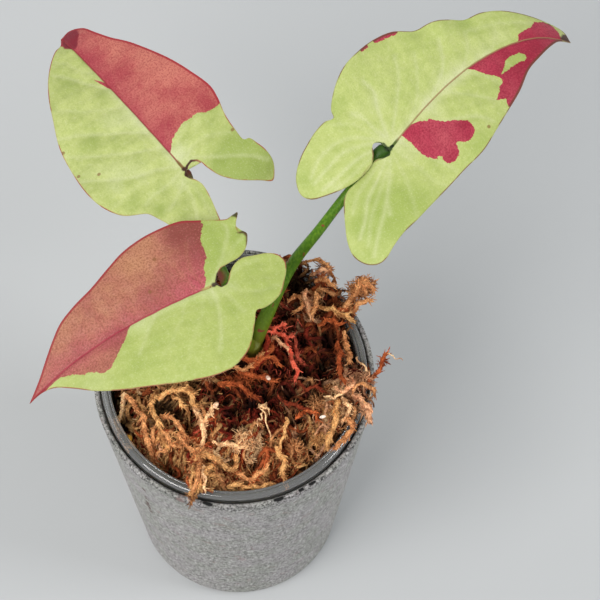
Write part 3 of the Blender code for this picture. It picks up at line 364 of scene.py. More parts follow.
LEAF_LEFT_BACK = {
    "name": "leaf_left_back",
    "left": [
        (-0.6, -0.3), (-1.9, 0.8), (-4.1, -0.4), (-6, -1), (-8.4, -0.9), (-13.1, 0.2), (-18, 1.7),
        (-20.2, 3.6), (-20.7, 6.6), (-18.8, 9.1), (-15, 10.7), (-10, 12), (-7, 13.2), (-5.2, 14.2),
        (-3.6, 15.9), (-0.5, 19.6), (3.6, 21.8), (9.4, 22.5), (18.6, 21.5), (26, 20), (34.2, 16.5),
        (40.5, 13.7), (46.4, 10.2), (51.6, 5.8), (53.8, 3.3), (54.4, 1.6), (57, 0),
    ],
    "right": [
        (-0.6, -0.3), (0.4, -1.5), (0.4, -3), (-1.2, -4.1), (-3.5, -4.4), (-7.6, -5.6), (-11.4, -8.3),
        (-15, -12.6), (-16.7, -14.9), (-15.5, -16.4), (-13, -17.9), (-10.1, -18.1), (-7.5, -17.5),
        (-5.2, -16.7), (-4.6, -15.5), (-1.2, -15.5), (4.7, -16.3), (9.9, -17.8), (14, -18.4),
        (20.8, -17.1), (30.8, -14.6), (40.2, -11.4), (45.5, -8.7), (50, -7), (54.9, -5.5), (57.6, -2.8),
        (57, 0),
    ],
    "patches": [
        [(6, 0), (50, 0), (52, 0.5), (53.5, 1.2), (58, 3), (62, -6), (50, -28), (10, -28), (9, -18.5),
         (8, -16.5), (8, -14.5), (8.5, -13), (9.5, -12), (10, -11), (10, -9.5), (10.5, -7.5), (10, -6),
         (9.5, -4.5), (8.5, -2.5), (7, -1.2)],
        [(32, 0), (33.5, 0.6), (36, 1.3), (38.5, 1.9), (36.5, 0.9), (35, 0)],
    ],
    "islands": [],
    "dark": [
        [(58, 0), (54.5, 1), (52.5, 1.5), (50, -0.5), (50.5, -1.5), (52, -2.5), (53.5, -4), (56, -4.5),
         (58, -4), (59.5, -2)],
    ],
    "ripples": [((-9, 9), 3.5, 0.9), ((-14, 6), 3, -0.7), ((-5, 14.5), 2.2, 0.7), ((0, 18), 3, -0.5)],
    "flecks": [(24.5, 20.0), (16.0, 21.0), (-0.5, -15.0), (12.5, 17.0)],
    "veins": [
        (0.5, (42.5, 2.5), (47, 4), (50, 6)), (0.9, (33.5, 1), (37.5, 3.5), (42.5, 6), (46.5, 8.5)),
        (0.6, (25.5, 1), (27.5, 4.5), (31, 9.5), (36, 14.5)),
        (1, (15, 1), (18.5, 5), (21, 8.5), (26, 14.5), (28.5, 19)),
        (0.9, (9, 1), (11.5, 6), (16, 12.5), (21, 18), (24, 21)),
        (1, (1, 0), (4, 5), (5.5, 10), (8, 14.5), (11.5, 18.5), (15, 22.5)),
        (0.9, (0, 0.5), (-1, 4.5), (-1.5, 8), (-1.5, 11), (-2.5, 13)),
        (0.5, (3, 9.5), (3, 13.5), (2.5, 16.5), (2.5, 19.5)),
        (0.9, (-2.5, 2), (-4, 3.5), (-5.5, 6), (-7.5, 9.5)),
        (0.8, (-3.5, 2.5), (-7, 3), (-10, 4), (-12.5, 5)),
        (0.5, (-4, 1), (-8, 1), (-11.5, 1.5), (-15, 2)),
        (0.9, (1, -2), (0.5, -4), (-2, -6.5), (-5.5, -10.5), (-8.5, -14), (-12, -17)),
        (0.6, (1.5, -2), (3.5, -5), (3, -9.5), (-0.5, -14)),
        (0.6, (3, -1.5), (6.5, -3), (8.5, -5.5), (9.5, -7.5)),
        (0.5, (8.5, -1.5), (13.5, -4), (16.5, -8), (19.5, -9.5), (22, -11)),
        (0.4, (14.5, -0.5), (20, -2), (27.5, -5), (32, -8)),
        (0.4, (25, -0.5), (32.5, -2), (38, -4.5), (42, -8)),
        (0.4, (9, -3.5), (11.5, -10.5), (15, -14.5), (19.5, -16)),
    ],
    "tones": [
        (41.5, 0.5, 3, 0.4), (46.5, 0, 2.5, -0.3), (41, 8, 3.5, -0.5), (32.5, 2.5, 2, -0.5),
        (21, 1, 3, 0.3), (22.5, 5.5, 4, 0.5), (22, 13, 3.5, -0.7), (18, 8, 3, -0.4), (17, 16.5, 4, -0.2),
        (8.5, 13.5, 4, 0.5), (6, 9.5, 3, 0.3), (14.5, 18, 4, 0.35), (4.5, 16.5, 2.5, 0.4),
        (5, 13, 2, -0.6), (10.5, 18.5, 2, -0.5), (0, 15, 2.5, -0.7), (3.5, 18.5, 2, -0.5),
        (-2, 7.5, 1.8, -0.5), (-6, 11.5, 2, -0.8), (-3, 3, 2.5, 0.5), (-7, 6.5, 3, -0.3),
        (-8, 0.5, 2.5, -0.4), (4, -2, 3, 0.9), (9, -10, 3, 0.4), (6, -6, 2.5, -0.3), (4, -12.5, 3, -0.3),
        (-6.5, -8, 3.5, -0.9), (-11, -16.5, 4, -0.9), (-11, -9.5, 4, -0.8), (-3.5, -13, 4, -0.5),
        (41.5, -8, 3.5, 0.6), (32.5, -11, 4, 0.8), (26, -12.5, 4, 0.6), (21.5, -15, 4, 0.4),
        (35, -3, 4, -0.6), (43, -1.5, 3, -0.7), (32.5, -6.5, 3, -0.4), (19.5, -9, 2.5, -0.6),
        (13, -4, 2.5, -1), (18.5, -4, 3.5, 0.45), (15, -14.5, 3.5, -0.5), (9.5, -14.5, 3, -0.8),
        (11, -8.5, 2, -0.7), (17.5, 0, 2.5, 0.4), (-9, -12, 8, -1.0), (-12, -9, 5, -0.6),
    ],
}
LEAF_LEFT_FRONT = {
    "name": "leaf_left_front",
    "left": [
        (-0.6, 0.1), (-1.5, 1.4), (-3, 1.2), (-4.6, -0.5), (-6.8, -2.1), (-9.2, -2.6), (-12.3, -1.8),
        (-15.2, -0.9), (-17.2, 0.6), (-17.8, 3.1), (-17, 5.1), (-15, 7.8), (-12.6, 10.4), (-9.4, 11.7),
        (-7, 12), (-5.2, 11.7), (-3.7, 13.6), (-1.3, 16.7), (1.3, 19.4), (4.7, 21.1), (8.5, 21.6),
        (12.7, 20.6), (18.2, 18), (25.8, 14.3), (32.3, 11), (37.4, 7.5), (41.7, 3.3), (45.2, 0.4),
        (48.3, -0.4), (52, 0),
    ],
    "right": [
        (-0.6, 0.1), (-1.6, -1.4), (-3.4, -2.8), (-5.6, -3.0), (-8.7, -3.15), (-10.9, -4.1),
        (-12.6, -5.8), (-13.2, -7.2), (-12.3, -7.9), (-11.7, -9), (-12.3, -10.8), (-13.4, -12),
        (-14.2, -13.6), (-13, -13.3), (-11.2, -13.2), (-7.5, -14.9), (-4, -16.7), (-1.2, -18.2),
        (3.9, -19.3), (9.4, -19.8), (14.7, -19.2), (19.6, -17.5), (25.5, -15.3), (31.5, -13.8),
        (36.2, -12.1), (39.7, -9.7), (43.4, -6.7), (47.3, -3.4), (52, 0),
    ],
    "patches": [
        [(2.6, 0), (22, 0), (23.5, 1.2), (24.5, 2.3), (26.5, 3.9), (28, 4.9), (29.5, 5.9), (30.5, 6.9),
         (32, 7.4), (33.5, 7.3), (35, 5.8), (36, 4.8), (37.5, 4.6), (39.5, 2.6), (41, 1.9), (42.5, 0.8),
         (46, 0.7), (53, 1), (56, -8), (40, -30), (-5.5, -30), (-5.5, -16), (-5, -14), (-3.5, -12.5),
         (-3, -11.5), (-2.5, -10.5), (-2.5, -8.5), (-2, -7), (-1, -6), (0, -5), (0.5, -3.5), (1, -1.9)],
    ],
    "islands": [],
    "dark": [
        [(-14.6, -14.2), (-12.9, -13.9), (-12.4, -12.8), (-13.2, -11.6), (-14.6, -12.4)],
        [(-11.3, -8.9), (-12.4, -7.4), (-12.6, -6.4), (-11.6, -4.8), (-11.8, -4), (-13.8, -5.4),
         (-14, -8), (-12, -8.6)],
    ],
    "ripples": [
        ((-12.6, -7), 1.3, 1.6), ((-13, -12), 1.3, 1.5), ((-14, 4), 4, -0.5), ((-6, 11), 2.4, 0.5),
    ],
    "flecks": [(9.0, -12.0), (14.0, -5.0)],
    "veins": [
        (1, (1, 0.5), (1.5, 4), (2.5, 7.5), (4, 11), (5.5, 14), (7.5, 17)),
        (0.8, (15.5, 0.5), (18.5, 3), (21, 5.5), (24, 8)),
        (0.4, (8, 0.5), (11, 5), (15, 8.5), (19, 11.5)), (0.4, (3, 0), (6, 5.5), (10, 10), (14, 14.5)),
        (0.5, (-2.5, 1), (-5, 5), (-9, 7.5), (-13, 8)), (0.6, (-1, 2), (-2, 7), (-2.5, 10.5)),
        (0.5, (-3.5, 0.5), (-7.5, -1), (-12.5, -0.5)),
        (0.9, (0.5, -0.5), (-3.5, -3.5), (-7, -7), (-9.5, -10), (-10, -12)),
        (0.5, (-1.5, -1.5), (-5.5, -4), (-10, -6.5), (-12, -7)),
        (0.6, (2, -1.5), (3, -5), (2, -9), (0.5, -12.5)),
        (0.4, (4.5, -0.5), (5.5, -7), (6.5, -11.5), (6, -16.5)),
        (0.5, (10, 0), (10.5, -7.5), (13, -12.5), (15, -16)),
        (0.4, (16, 0), (18.5, -6), (20.5, -11.5), (22, -14)),
        (0.4, (22.5, 0), (25, -4.5), (27.5, -9.5), (30, -11.5)), (0.4, (30.5, 0), (33, 1.5), (36, 4)),
    ],
    "tones": [
        (7.5, -17.5, 3.5, 0.9), (12.5, -13.5, 4, 0.8), (16.5, -13, 3.5, 0.5), (1, -16, 4, -0.8),
        (0.5, -8.5, 3, -0.7), (-3.5, -14, 3, -0.9), (2.5, -2.5, 2.5, -1), (10, -4, 4, -0.6),
        (26, -6.5, 3, 0.3), (21.5, -9.5, 3, 0.3), (35, -8, 4, 0.7), (28.5, -8, 2, -0.4),
        (33.5, -7.5, 2, -0.3), (24.5, 1, 3, -0.4), (33, 1.5, 3, 0.2), (27, 2.5, 3, -0.5),
        (48, -1, 5, 0.5), (15.5, -2.5, 2.5, -0.5), (36, -2, 3, -0.4), (2, 2.5, 2.5, 0.6),
        (-3.5, 3, 2.5, 0.5), (4.5, 4.5, 3, -0.3), (19, 7, 3.5, -0.5), (25.5, 10.5, 3.5, -0.5),
        (-0.5, 8, 2.5, -0.5), (3, 17.5, 4, -0.3), (20.5, 2.5, 3, 0.5), (36.5, 8, 4, 0.3),
        (-4, -8.5, 3, -0.5), (-1, -3.5, 3, -0.4), (-11.5, -7, 3, -0.9), (-7.5, -7.5, 2, 0.4),
        (-8, -10, 5, -0.7), (-4, -6, 3, -0.5), (2, -15, 7, -0.4), (-9, 5, 8, -0.3),
    ],
}
LEAVES = [LEAF_RIGHT, LEAF_LEFT_BACK, LEAF_LEFT_FRONT]

# Places and bends of the blades, in the order of LEAVES. The overlap of the two lobes is a place, its
# spread and its height. The knee is where the petiole bends up behind the notch, and its radius.
BLADE_FORMS = {
    "root": ((38.2, 39.2, 139.0), (-12.0, 40.0, 126.0), (-4.2, 5.5, 134.0)),
    "heading": (38.6, 126.3, 210.2),
    "droop": (2.0, 9.0, 4.0),
    "bank": (4.0, -3.0, 2.0),
    "midrib_slope": (0.275, 0.0, -0.12),
    "fold_left": (0.18, 0.14, 0.20),
    "fold_right": (0.18, 0.30, 0.18),
    "sag": (0.003, 0.0022, 0.003),
    "lobe_sag": (0.006, 0.010, 0.005),
    "curl_from": (47.0, 48.0, 50.0),
    "curl": (0.03, 0.02, 0.0),
    "wave_height": (0.8, 0.8, 0.6),
    "wave_length": (30.0, 30.0, 32.0),
    "wave_phase": (1.0, 0.5, 0.0),
    "overlap": (((-9, -1), 6, 0.5), ((-9, 0), 6, 0.0), ((-9, 0), 6, 0.0)),
    "knee": ((-1.3, 1.1, 1.9), (0.2, 0.0, 1.5), (0.2, 0.0, 1.5)),
}
for number, leaf in enumerate(LEAVES):
    leaf.update({key: row[number] for key, row in BLADE_FORMS.items()})

# Colours of the blades, in the order of LEAVES. The last row says how clear the side veins are.
LEAF_TONES = {
    "lime": ((0.51, 0.575, 0.19), (0.53, 0.59, 0.205), (0.435, 0.505, 0.145)),
    "green": ((0.31, 0.405, 0.08), (0.245, 0.33, 0.056), (0.30, 0.39, 0.08)),
    "pale": ((0.64, 0.67, 0.35), (0.64, 0.68, 0.37), (0.60, 0.65, 0.34)),
    "red": ((0.45, 0.040, 0.078), (0.51, 0.12, 0.105), (0.41, 0.13, 0.095)),
    "rose": ((0.47, 0.035, 0.075), (0.43, 0.055, 0.085), (0.50, 0.085, 0.12)),
    "deep": ((0.31, 0.012, 0.036), (0.37, 0.04, 0.055), (0.25, 0.055, 0.045)),
    "light": ((0.52, 0.085, 0.11), (0.62, 0.21, 0.15), (0.50, 0.23, 0.12)),
    "glow": ((0.60, 0.14, 0.15), (0.68, 0.25, 0.19), (0.60, 0.28, 0.20)),
    "speck": ((0.24, 0.01, 0.03), (0.30, 0.03, 0.04), (0.19, 0.06, 0.03)),
    "rib": ((0.34, 0.20, 0.09), (0.30, 0.03, 0.04), (0.35, 0.03, 0.055)),
    "edge": ((0.16, 0.05, 0.03), (0.36, 0.025, 0.035), (0.30, 0.025, 0.03)),
    # Painted shade at the notch and the root
    "notch_shadow": ((0.03, 0.06, 0.012), (0.06, 0.02, 0.012), (0.05, 0.03, 0.015)),
    "collar": ((0.06, 0.12, 0.01), (0.20, 0.12, 0.03), (0.42, 0.36, 0.12)),
    "dark": ((0.07, 0.03, 0.02), (0.24, 0.018, 0.032), (0.08, 0.075, 0.02)),
    "vein": (0.36, 0.26, 0.24),
}

# Camera of the photograph, and soft boxes: name, azimuth, elevation, width, power and colour
CAMERA_PLACE = (16.4, -378.65, 1008.36)
CAMERA_TILT = 23.5
CAMERA_LENS = 239.2
LIGHT_DISTANCE = 1300
LIGHT_AIM = (0, 0, 80)
LIGHTS = [
    ("key_box", 226, 52, 700, 10.8, (1.0, 0.98, 0.95)),
    ("left_box", 165, 40, 600, 1.9, (0.98, 0.99, 1.0)),
    ("side_box", -10, 42, 450, 5.4, (0.98, 0.99, 1.0)),
]
FLOOR_REACH = 4000
FLOOR_LEVEL = -0.05


def sign(operation, turned=False):
    """An arithmetic sign of the shader values, which adds one Math node."""
    def apply(self, *others):
        values = (*others, self) if turned else (self, *others)
        return self.finish.math(operation, *values)
    return apply


class Value:
    """A shader socket that arithmetic can be written with."""

    def __init__(self, finish, socket):
        self.finish = finish
        self.socket = socket

    __add__ = __radd__ = sign("ADD")
    __sub__ = sign("SUBTRACT")
    __rsub__ = sign("SUBTRACT", turned=True)
    __mul__ = __rmul__ = sign("MULTIPLY")
    __truediv__ = sign("DIVIDE")
    __pow__ = sign("POWER")
    __abs__ = sign("ABSOLUTE")

    def __neg__(self):
        return self * -1.0

    def clamp(self):
        return self.finish.node("ShaderNodeClamp", inputs=[self])

    def bell(self):
        """exp(-value squared): 1 at zero, fading on both sides."""
        return self.finish.math("POWER", math.e, -(self * self))

    def step(self, low, high):
        """Rises smoothly from 0 at low to 1 at high."""
        return self.finish.node("ShaderNodeMapRange", {"interpolation_type": "SMOOTHSTEP"},
                                [self, low, high, 0.0, 1.0])


class Finish:
    """A Principled material. Constant values are set on its sockets, and the rest is expressions."""

    def __init__(self, name, **constants):
        self.material = bpy.data.materials.new(name)
        self.material.use_nodes = True
        self.tree = self.material.node_tree
        self.shader = self.tree.nodes["Principled BSDF"]
        for socket, value in constants.items():
            self.set(socket.replace("_", " "), value)

    def feed(self, socket, value):
        if isinstance(value, Value):
            self.tree.links.new(value.socket, socket)
        elif socket.type == "RGBA":
            socket.default_value = (*value, 1.0)
        else:
            socket.default_value = value

    def set(self, socket, value):
        self.feed(self.shader.inputs[socket], value)

    def node(self, kind, settings=None, inputs=(), output=0):
        """Adds a node: its settings first, then the value or link of each numbered or named socket."""
        node = self.tree.nodes.new(kind)
        for setting, value in (settings or {}).items():
            setattr(node, setting, value)
        pairs = inputs.items() if isinstance(inputs, dict) else enumerate(inputs)
        for key, value in pairs:
            self.feed(node.inputs[key], value)
        return Value(self, node.outputs[output])

    def math(self, operation, *values):
        return self.node("ShaderNodeMath", {"operation": operation}, values)

    def vector(self, operation, inputs, output="Vector"):
        return self.node("ShaderNodeVectorMath", {"operation": operation}, inputs, output)

    def mix(self, share, first, second, blend="MIX"):
        """Mixes two colours by a share from 0 to 1."""
        settings = {"data_type": "RGBA", "blend_type": blend}
        return self.node("ShaderNodeMix", settings, {0: share, 6: first, 7: second}, output=2)

    def cover(self, colour, *layers):
        """A colour with others laid over it in turn, each by its share from 0 to 1."""
        for share, tone in layers:
            colour = self.mix(share, colour, tone)
        return colour

    def noise(self, place, scale, detail=2.0, roughness=0.5):
        """Noise from 0 to 1, about 0.5 in the middle."""
        return self.node("ShaderNodeTexNoise", None,
                         {"Vector": place, "Scale": scale, "Detail": detail, "Roughness": roughness})

    def here(self):
        """The place on the object, in millimetres."""
        metres = self.node("ShaderNodeTexCoord", output="Object")
        return self.vector("SCALE", {"Vector": metres, "Scale": 1 / MM})

    def attribute(self, name, output="Fac"):
        return self.node("ShaderNodeAttribute", {"attribute_name": name}, output=output)

    def part(self, vector, axis):
        return self.node("ShaderNodeSeparateXYZ", None, [vector], output=axis)

    def from_axis(self, here):
        """Distance from the upright axis of the pots."""
        return (self.part(here, 0)**2.0 + self.part(here, 1)**2.0)**0.5

    def spot(self, here, place, radius, ragged=0.0):
        """1 at a place, falling to 0 at the radius; a ragged value moves its edge."""
        away = self.vector("DISTANCE", [here, place], "Value")
        return 1 - (away + ragged).step(radius * 0.55, radius)

    def relief(self, height, distance):
        """Feeds a height from 0 to 1, worth the distance in millimetres, to the surface's normal."""
        self.set("Normal", self.node("ShaderNodeBump", None, {
            "Strength": 1.0, "Distance": distance * MM, "Height": height}))


def make_mesh(name, points, quads, triangles=()):
    """A mesh from arrays: points in millimetres, then faces as rows of point numbers."""
    faces = np.reshape(quads, (-1, 4)).tolist() + np.reshape(triangles, (-1, 3)).astype(int).tolist()
    mesh = bpy.data.meshes.new(name)
    mesh.from_pydata(np.asarray(points) * MM, [], faces, shade_flat=False)
    mesh.validate()
    return mesh


def set_values(mesh, name, values):
    """Stores a number, a vector or a colour for each point of the mesh."""
    values = np.asarray(values, np.float32)
    if values.ndim == 1:
        kind, field = "FLOAT", "value"
    elif name == "colour":
        kind, field = "FLOAT_COLOR", "color"
        values = np.hstack([values, np.ones((len(values), 1), np.float32)])
    else:
        kind, field = "FLOAT_VECTOR", "vector"
    mesh.attributes.new(name, kind, "POINT").data.foreach_set(field, values.ravel())


def merge_points(mesh):
    """Joins points that lie together, at poles and along shared lines."""
    work = bmesh.new()
    work.from_mesh(mesh)
    bmesh.ops.remove_doubles(work, verts=work.verts, dist=JOIN_DISTANCE * MM)
    bmesh.ops.dissolve_degenerate(work, edges=work.edges, dist=JOIN_DISTANCE / 20 * MM)
    work.to_mesh(mesh)
    work.free()


def show(name, data):
    """Adds an object to the scene."""
    shown = bpy.data.objects.new(name, data)
    bpy.context.scene.collection.objects.link(shown)
    return shown


def add_piece(mesh, finish, slot, *nodes, sharp=40):
    """Shows a mesh as a piece of the plant or its pots, standing for the given nodes."""
    mesh.materials.append(finish.material)
    mesh.shade_smooth()
    mesh.set_sharp_from_angle(angle=math.radians(sharp))
    piece = show(mesh.name, mesh)
    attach(piece, "root")
    if nodes:
        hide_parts(*nodes)


def hill(x, y, place, spread):
    """A round hill of height 1: exp(-(distance from the place / spread) squared)."""
    return np.exp(-((x - place[0])**2 + (y - place[1])**2) / spread**2)


def polar(radius, turn):
    """Plan places at a distance from the axis and a direction."""
    return np.stack([radius * np.cos(turn), radius * np.sin(turn)], axis=1)


def unit(vectors):
    return vectors / np.linalg.norm(vectors, axis=-1, keepdims=True)


def smooth_path(points, steps):
    """Points evenly spaced along a centripetal Catmull-Rom curve through the given points."""
    points = np.asarray(points, float)
    knots = np.vstack([2 * points[0] - points[1], points, 2 * points[-1] - points[-2]])
    u = np.linspace(0, 1, CURVE_PARTS, endpoint=False)[:, None]
    pieces = []
    for p0, p1, p2, p3 in zip(knots[:-3], knots[1:-2], knots[2:-1], knots[3:]):
        a, b, c = (math.sqrt(np.linalg.norm(gap)) for gap in (p1 - p0, p2 - p1, p3 - p2))
        leave = (p1 - p0) / a - (p2 - p0) / (a + b) + (p2 - p1) / b
        arrive = (p2 - p1) / b - (p3 - p1) / (b + c) + (p3 - p2) / c
        pieces.append((2 * u**3 - 3 * u**2 + 1) * p1 + (3 * u**2 - 2 * u**3) * p2
                      + b * ((u**3 - 2 * u**2 + u) * leave + (u**3 - u**2) * arrive))
    return even_path(np.vstack(pieces + [points[-1:]]), steps)


def path_length(curve):
    """How far along the curve each of its points lies."""
    return np.concatenate([[0], np.cumsum(np.linalg.norm(np.diff(curve, axis=0), axis=1))])


def points_at(curve, wanted):
    """Points of the curve at the wanted distances along it."""
    length = path_length(curve)
    return np.stack([np.interp(wanted, length, values) for values in curve.T], axis=1)


def even_path(curve, steps):
    """The curve's points moved to even distances along it."""
    return points_at(curve, np.linspace(0, path_length(curve)[-1], steps + 1))


def turned(profile):
    """Points (r cos a, r sin a, z) of a closed profile of (r, z) pairs, from the axis down its outer
    side and back to the axis, with one point at each pole."""
    radius, height = np.array(profile[1:-1]).T
    angle = np.linspace(0, 2 * math.pi, TURN_STEPS, endpoint=False)
    ring = np.stack([np.cos(angle), np.sin(angle), 0 * angle], axis=1)
    rows = radius[:, None, None] * ring + height[:, None, None] * np.array([0, 0, 1])
    points = np.vstack([rows.reshape(-1, 3), [0, 0, profile[0][1]], [0, 0, profile[-1][1]]])
    return points, *closed_rows(len(radius), TURN_STEPS)


def closed_rows(rows, steps):
    """Faces of rings of points, with the last two points as the poles above and below."""
    first = np.arange(steps)
    following = (first + 1) % steps
    a, b = (np.arange(rows - 1)[:, None] * steps + side for side in (first, following))
    quads = np.stack([a, a + steps, b + steps, b], axis=2)
    top = np.full(steps, rows * steps)
    last = (rows - 1) * steps
    triangles = np.concatenate([np.stack([top, first, following], axis=1),
                                np.stack([top + 1, last + following, last + first], axis=1)])
    return quads, triangles


def arc(radius, height, size, start, stop, steps):
    """Profile points on a round edge, from the start to the stop angle in degrees."""
    angle = np.radians(np.linspace(start, stop, steps + 1))
    return list(zip(radius + size * np.cos(angle), height + size * np.sin(angle)))


def line(start, stop, steps):
    """Profile points on a straight wall, without its first."""
    return [tuple(point) for point in np.linspace(start, stop, steps + 1)[1:]]


def tubes(paths, radii, sides, reference):
    """Closed tubes along many paths at once: each ring is radius times (across cos a + up sin a)
    round its path's point, with one point past each end."""
    count, steps, _ = paths.shape
    tangent = np.gradient(paths, axis=1)
    tangent /= np.linalg.norm(tangent, axis=2, keepdims=True) + 1e-9
    across = np.cross(tangent, np.broadcast_to(reference, tangent.shape))
    across /= np.linalg.norm(across, axis=2, keepdims=True) + 1e-9
    upward = np.cross(tangent, across)
    turn = np.linspace(0, 2 * math.pi, sides, endpoint=False)[:, None]
    ring = across[:, :, None] * np.cos(turn) + upward[:, :, None] * np.sin(turn)
    grid = paths[:, :, None] + ring * radii[:, :, None, None]
    starts = paths[:, 0] - tangent[:, 0] * radii[:, :1] * TUBE_TIP
    ends = paths[:, -1] + tangent[:, -1] * radii[:, -1:] * TUBE_TIP
    points = np.vstack([grid.reshape(-1, 3), starts, ends])
    side = np.arange(sides)
    following = (side + 1) % sides
    base = np.arange(count)[:, None] * steps * sides
    last = base + (steps - 1) * sides
    row = base[:, None] + np.arange(steps - 1)[:, None] * sides
    quads = np.stack([row + side, row + following, row + following + sides, row + side + sides], axis=3)
    start = np.broadcast_to(count * steps * sides + np.arange(count)[:, None], (count, sides))
    caps = np.array([[start, base + following, base + side],
                     [start + count, last + side, last + following]])
    owner = np.concatenate([np.repeat(np.arange(count), steps * sides), *[np.arange(count)] * 2])
    return points, quads, np.moveaxis(caps, 1, -1), owner


def stone_finish():
    """Matt grey stone look: coarse and fine grain over soft lavender and green-grey clouds, with
    pinkish smudges, more specks toward the rim, chips on the rim, deep shade on it beside the clear
    lip, a few dark dashes along it and brown marks down the wall."""
    finish = Finish("stone_look_grey", Roughness=0.82, Specular_IOR_Level=0.25)
    here = finish.here()
    height = finish.part(here, 2)
    upright = finish.vector("MULTIPLY", [here, (1.0, 1.0, 0.55)])
    clouds = finish.noise(here, 0.12, 3.0, 0.6)
    tint = finish.noise(here, 0.5, 3.0, 0.6)
    grain = finish.noise(upright, 1.3, 4.0, 0.7)
    fine = finish.noise(upright, 3.2, 2.0, 0.6)
    pits = finish.noise(upright, 2.0, 3.0, 0.7)
    smudge = finish.noise(here, 0.28, 2.0, 0.5).step(0.62, 0.76)
    worn = height.step(POT_HEIGHT - 9, POT_HEIGHT - 1)
    specks = (pits - 0.05 + 0.14 * worn * worn).step(0.60, 0.66)
    rim_only = height.step(POT_HEIGHT - 2.0, POT_HEIGHT - 0.4)
    around = finish.math("ARCTAN2", finish.part(here, 1), finish.part(here, 0))
    from_axis = finish.from_axis(here)
    round_rim = finish.node("ShaderNodeCombineXYZ", None, [around * 16, from_axis, height * 1.3])
    chips = finish.noise(round_rim, 0.9, 3.0, 0.7)
    shadowed = (1 - from_axis.step(LIP_RADIUS + 0.1, LIP_RADIUS + 0.5)) * rim_only
    colour = finish.cover(
        (0.455, 0.43, 0.435),
        (clouds.step(0.35, 0.65), (0.39, 0.40, 0.36)),
        (tint.step(0.5, 0.7) * 0.5, (0.36, 0.315, 0.33)),
        (grain.step(0.50, 0.64) * 0.85, (0.18, 0.175, 0.17)),
        ((1 - grain.step(0.34, 0.48)) * 0.85, (0.70, 0.69, 0.68)),
        (fine.step(0.45, 0.65) * 0.5, (0.20, 0.195, 0.19)),
        (smudge * 0.35, (0.33, 0.20, 0.19)),
        (specks * (0.6 + 0.3 * worn), (0.05, 0.045, 0.045)),
        (chips.step(0.3, 0.6) * rim_only * 0.2, (0.17, 0.165, 0.16)),
        (chips.step(0.60, 0.66) * rim_only * 0.8, (0.04, 0.04, 0.04)),
        (shadowed * 0.85, (0.02, 0.02, 0.02)),
    )
    ragged = (pits - 0.5) * 1.6
    for angle, radius, size in RIM_MARKS:
        turn = math.radians(angle)
        place = (radius * math.cos(turn), radius * math.sin(turn), POT_HEIGHT)
        mark = finish.spot(here, place, 1.2 * size, ragged * 0.5)
        colour = finish.mix(mark, colour, (0.01, 0.01, 0.01))
    brown = [(*mark, (0.11, 0.055, 0.05)) for mark in WALL_MARKS]
    for place, size, tone in [(*RIM_SMUDGE, (0.25, 0.175, 0.165))] + brown:
        colour = finish.mix(finish.spot(here, place, size, ragged) * 0.9, colour, tone)
    finish.set("Base Color", colour)
    finish.relief(grain * 0.7 + fine * 0.3, 0.2)
    return finish


def clear_finish():
    """Clear plastic with a faint grey tint and fine rubbed streaks in its gloss. Where the lip turns
    down over the pot's rim it carries painted shade: nearly black, without coat and dull."""
    finish = Finish("clear_plastic", Transmission_Weight=0.84, IOR=1.46, Specular_IOR_Level=0.95,
                    Coat_Roughness=0.04)
    here = finish.here()
    below_top = 1 - finish.part(here, 2).step(LIP_TOP - 1.3, LIP_TOP - 0.7)
    # Painted shade on the lip's down-turned skirt: a near-black tint, no coat and a dull gloss
    shaded_skirt = below_top * finish.from_axis(here).step(LIP_RADIUS - 1.0, LIP_RADIUS - 0.5)
    finish.set("Base Color", finish.mix(shaded_skirt * 0.95, (0.78, 0.78, 0.77), (0.05, 0.05, 0.05)))
    finish.set("Coat Weight", 0.6 - 0.6 * shaded_skirt)
    rubbed = finish.noise(finish.vector("MULTIPLY", [here, (0.2, 0.2, 2.0)]), 1.2, 3.0, 0.6)
    finish.set("Roughness", 0.05 + 0.10 * rubbed.step(0.4, 0.8) + 0.45 * shaded_skirt)
    return finish


def make_outer_pot():
    """The tapered stone-look pot: a thin wall with a round top edge and a rounded foot."""
    edge = POT_WALL / 2
    inner = POT_FOOT_RADIUS - POT_WALL
    rounding = POT_FOOT_ROUNDING
    profile = [(0, POT_FLOOR), (inner - POT_CORNER, POT_FLOOR), (inner, POT_FLOOR + POT_CORNER)]
    profile += line(profile[-1], (POT_TOP_RADIUS - POT_WALL, POT_HEIGHT - edge), 24)
    profile += arc(POT_TOP_RADIUS - edge, POT_HEIGHT - edge, edge, 170, 0, 8)
    profile += line(profile[-1], (POT_FOOT_RADIUS, rounding), 30)[:-1]
    profile += arc(POT_FOOT_RADIUS - rounding, rounding, rounding, -6, -90, 8) + [(0, 0)]
    mesh = make_mesh("outer_pot_stone", *turned(profile))
    add_piece(mesh, stone_finish(), "stone_look_grey", "outer_pot")


def cup_radius(height):
    """Outer radius of the clear pot's tapered wall."""
    share = (height - CUP_FOOT) / (LIP_TOP - LIP_HEIGHT - CUP_FOOT)
    return CUP_FOOT_RADIUS + (CUP_TOP_RADIUS - CUP_FOOT_RADIUS) * share


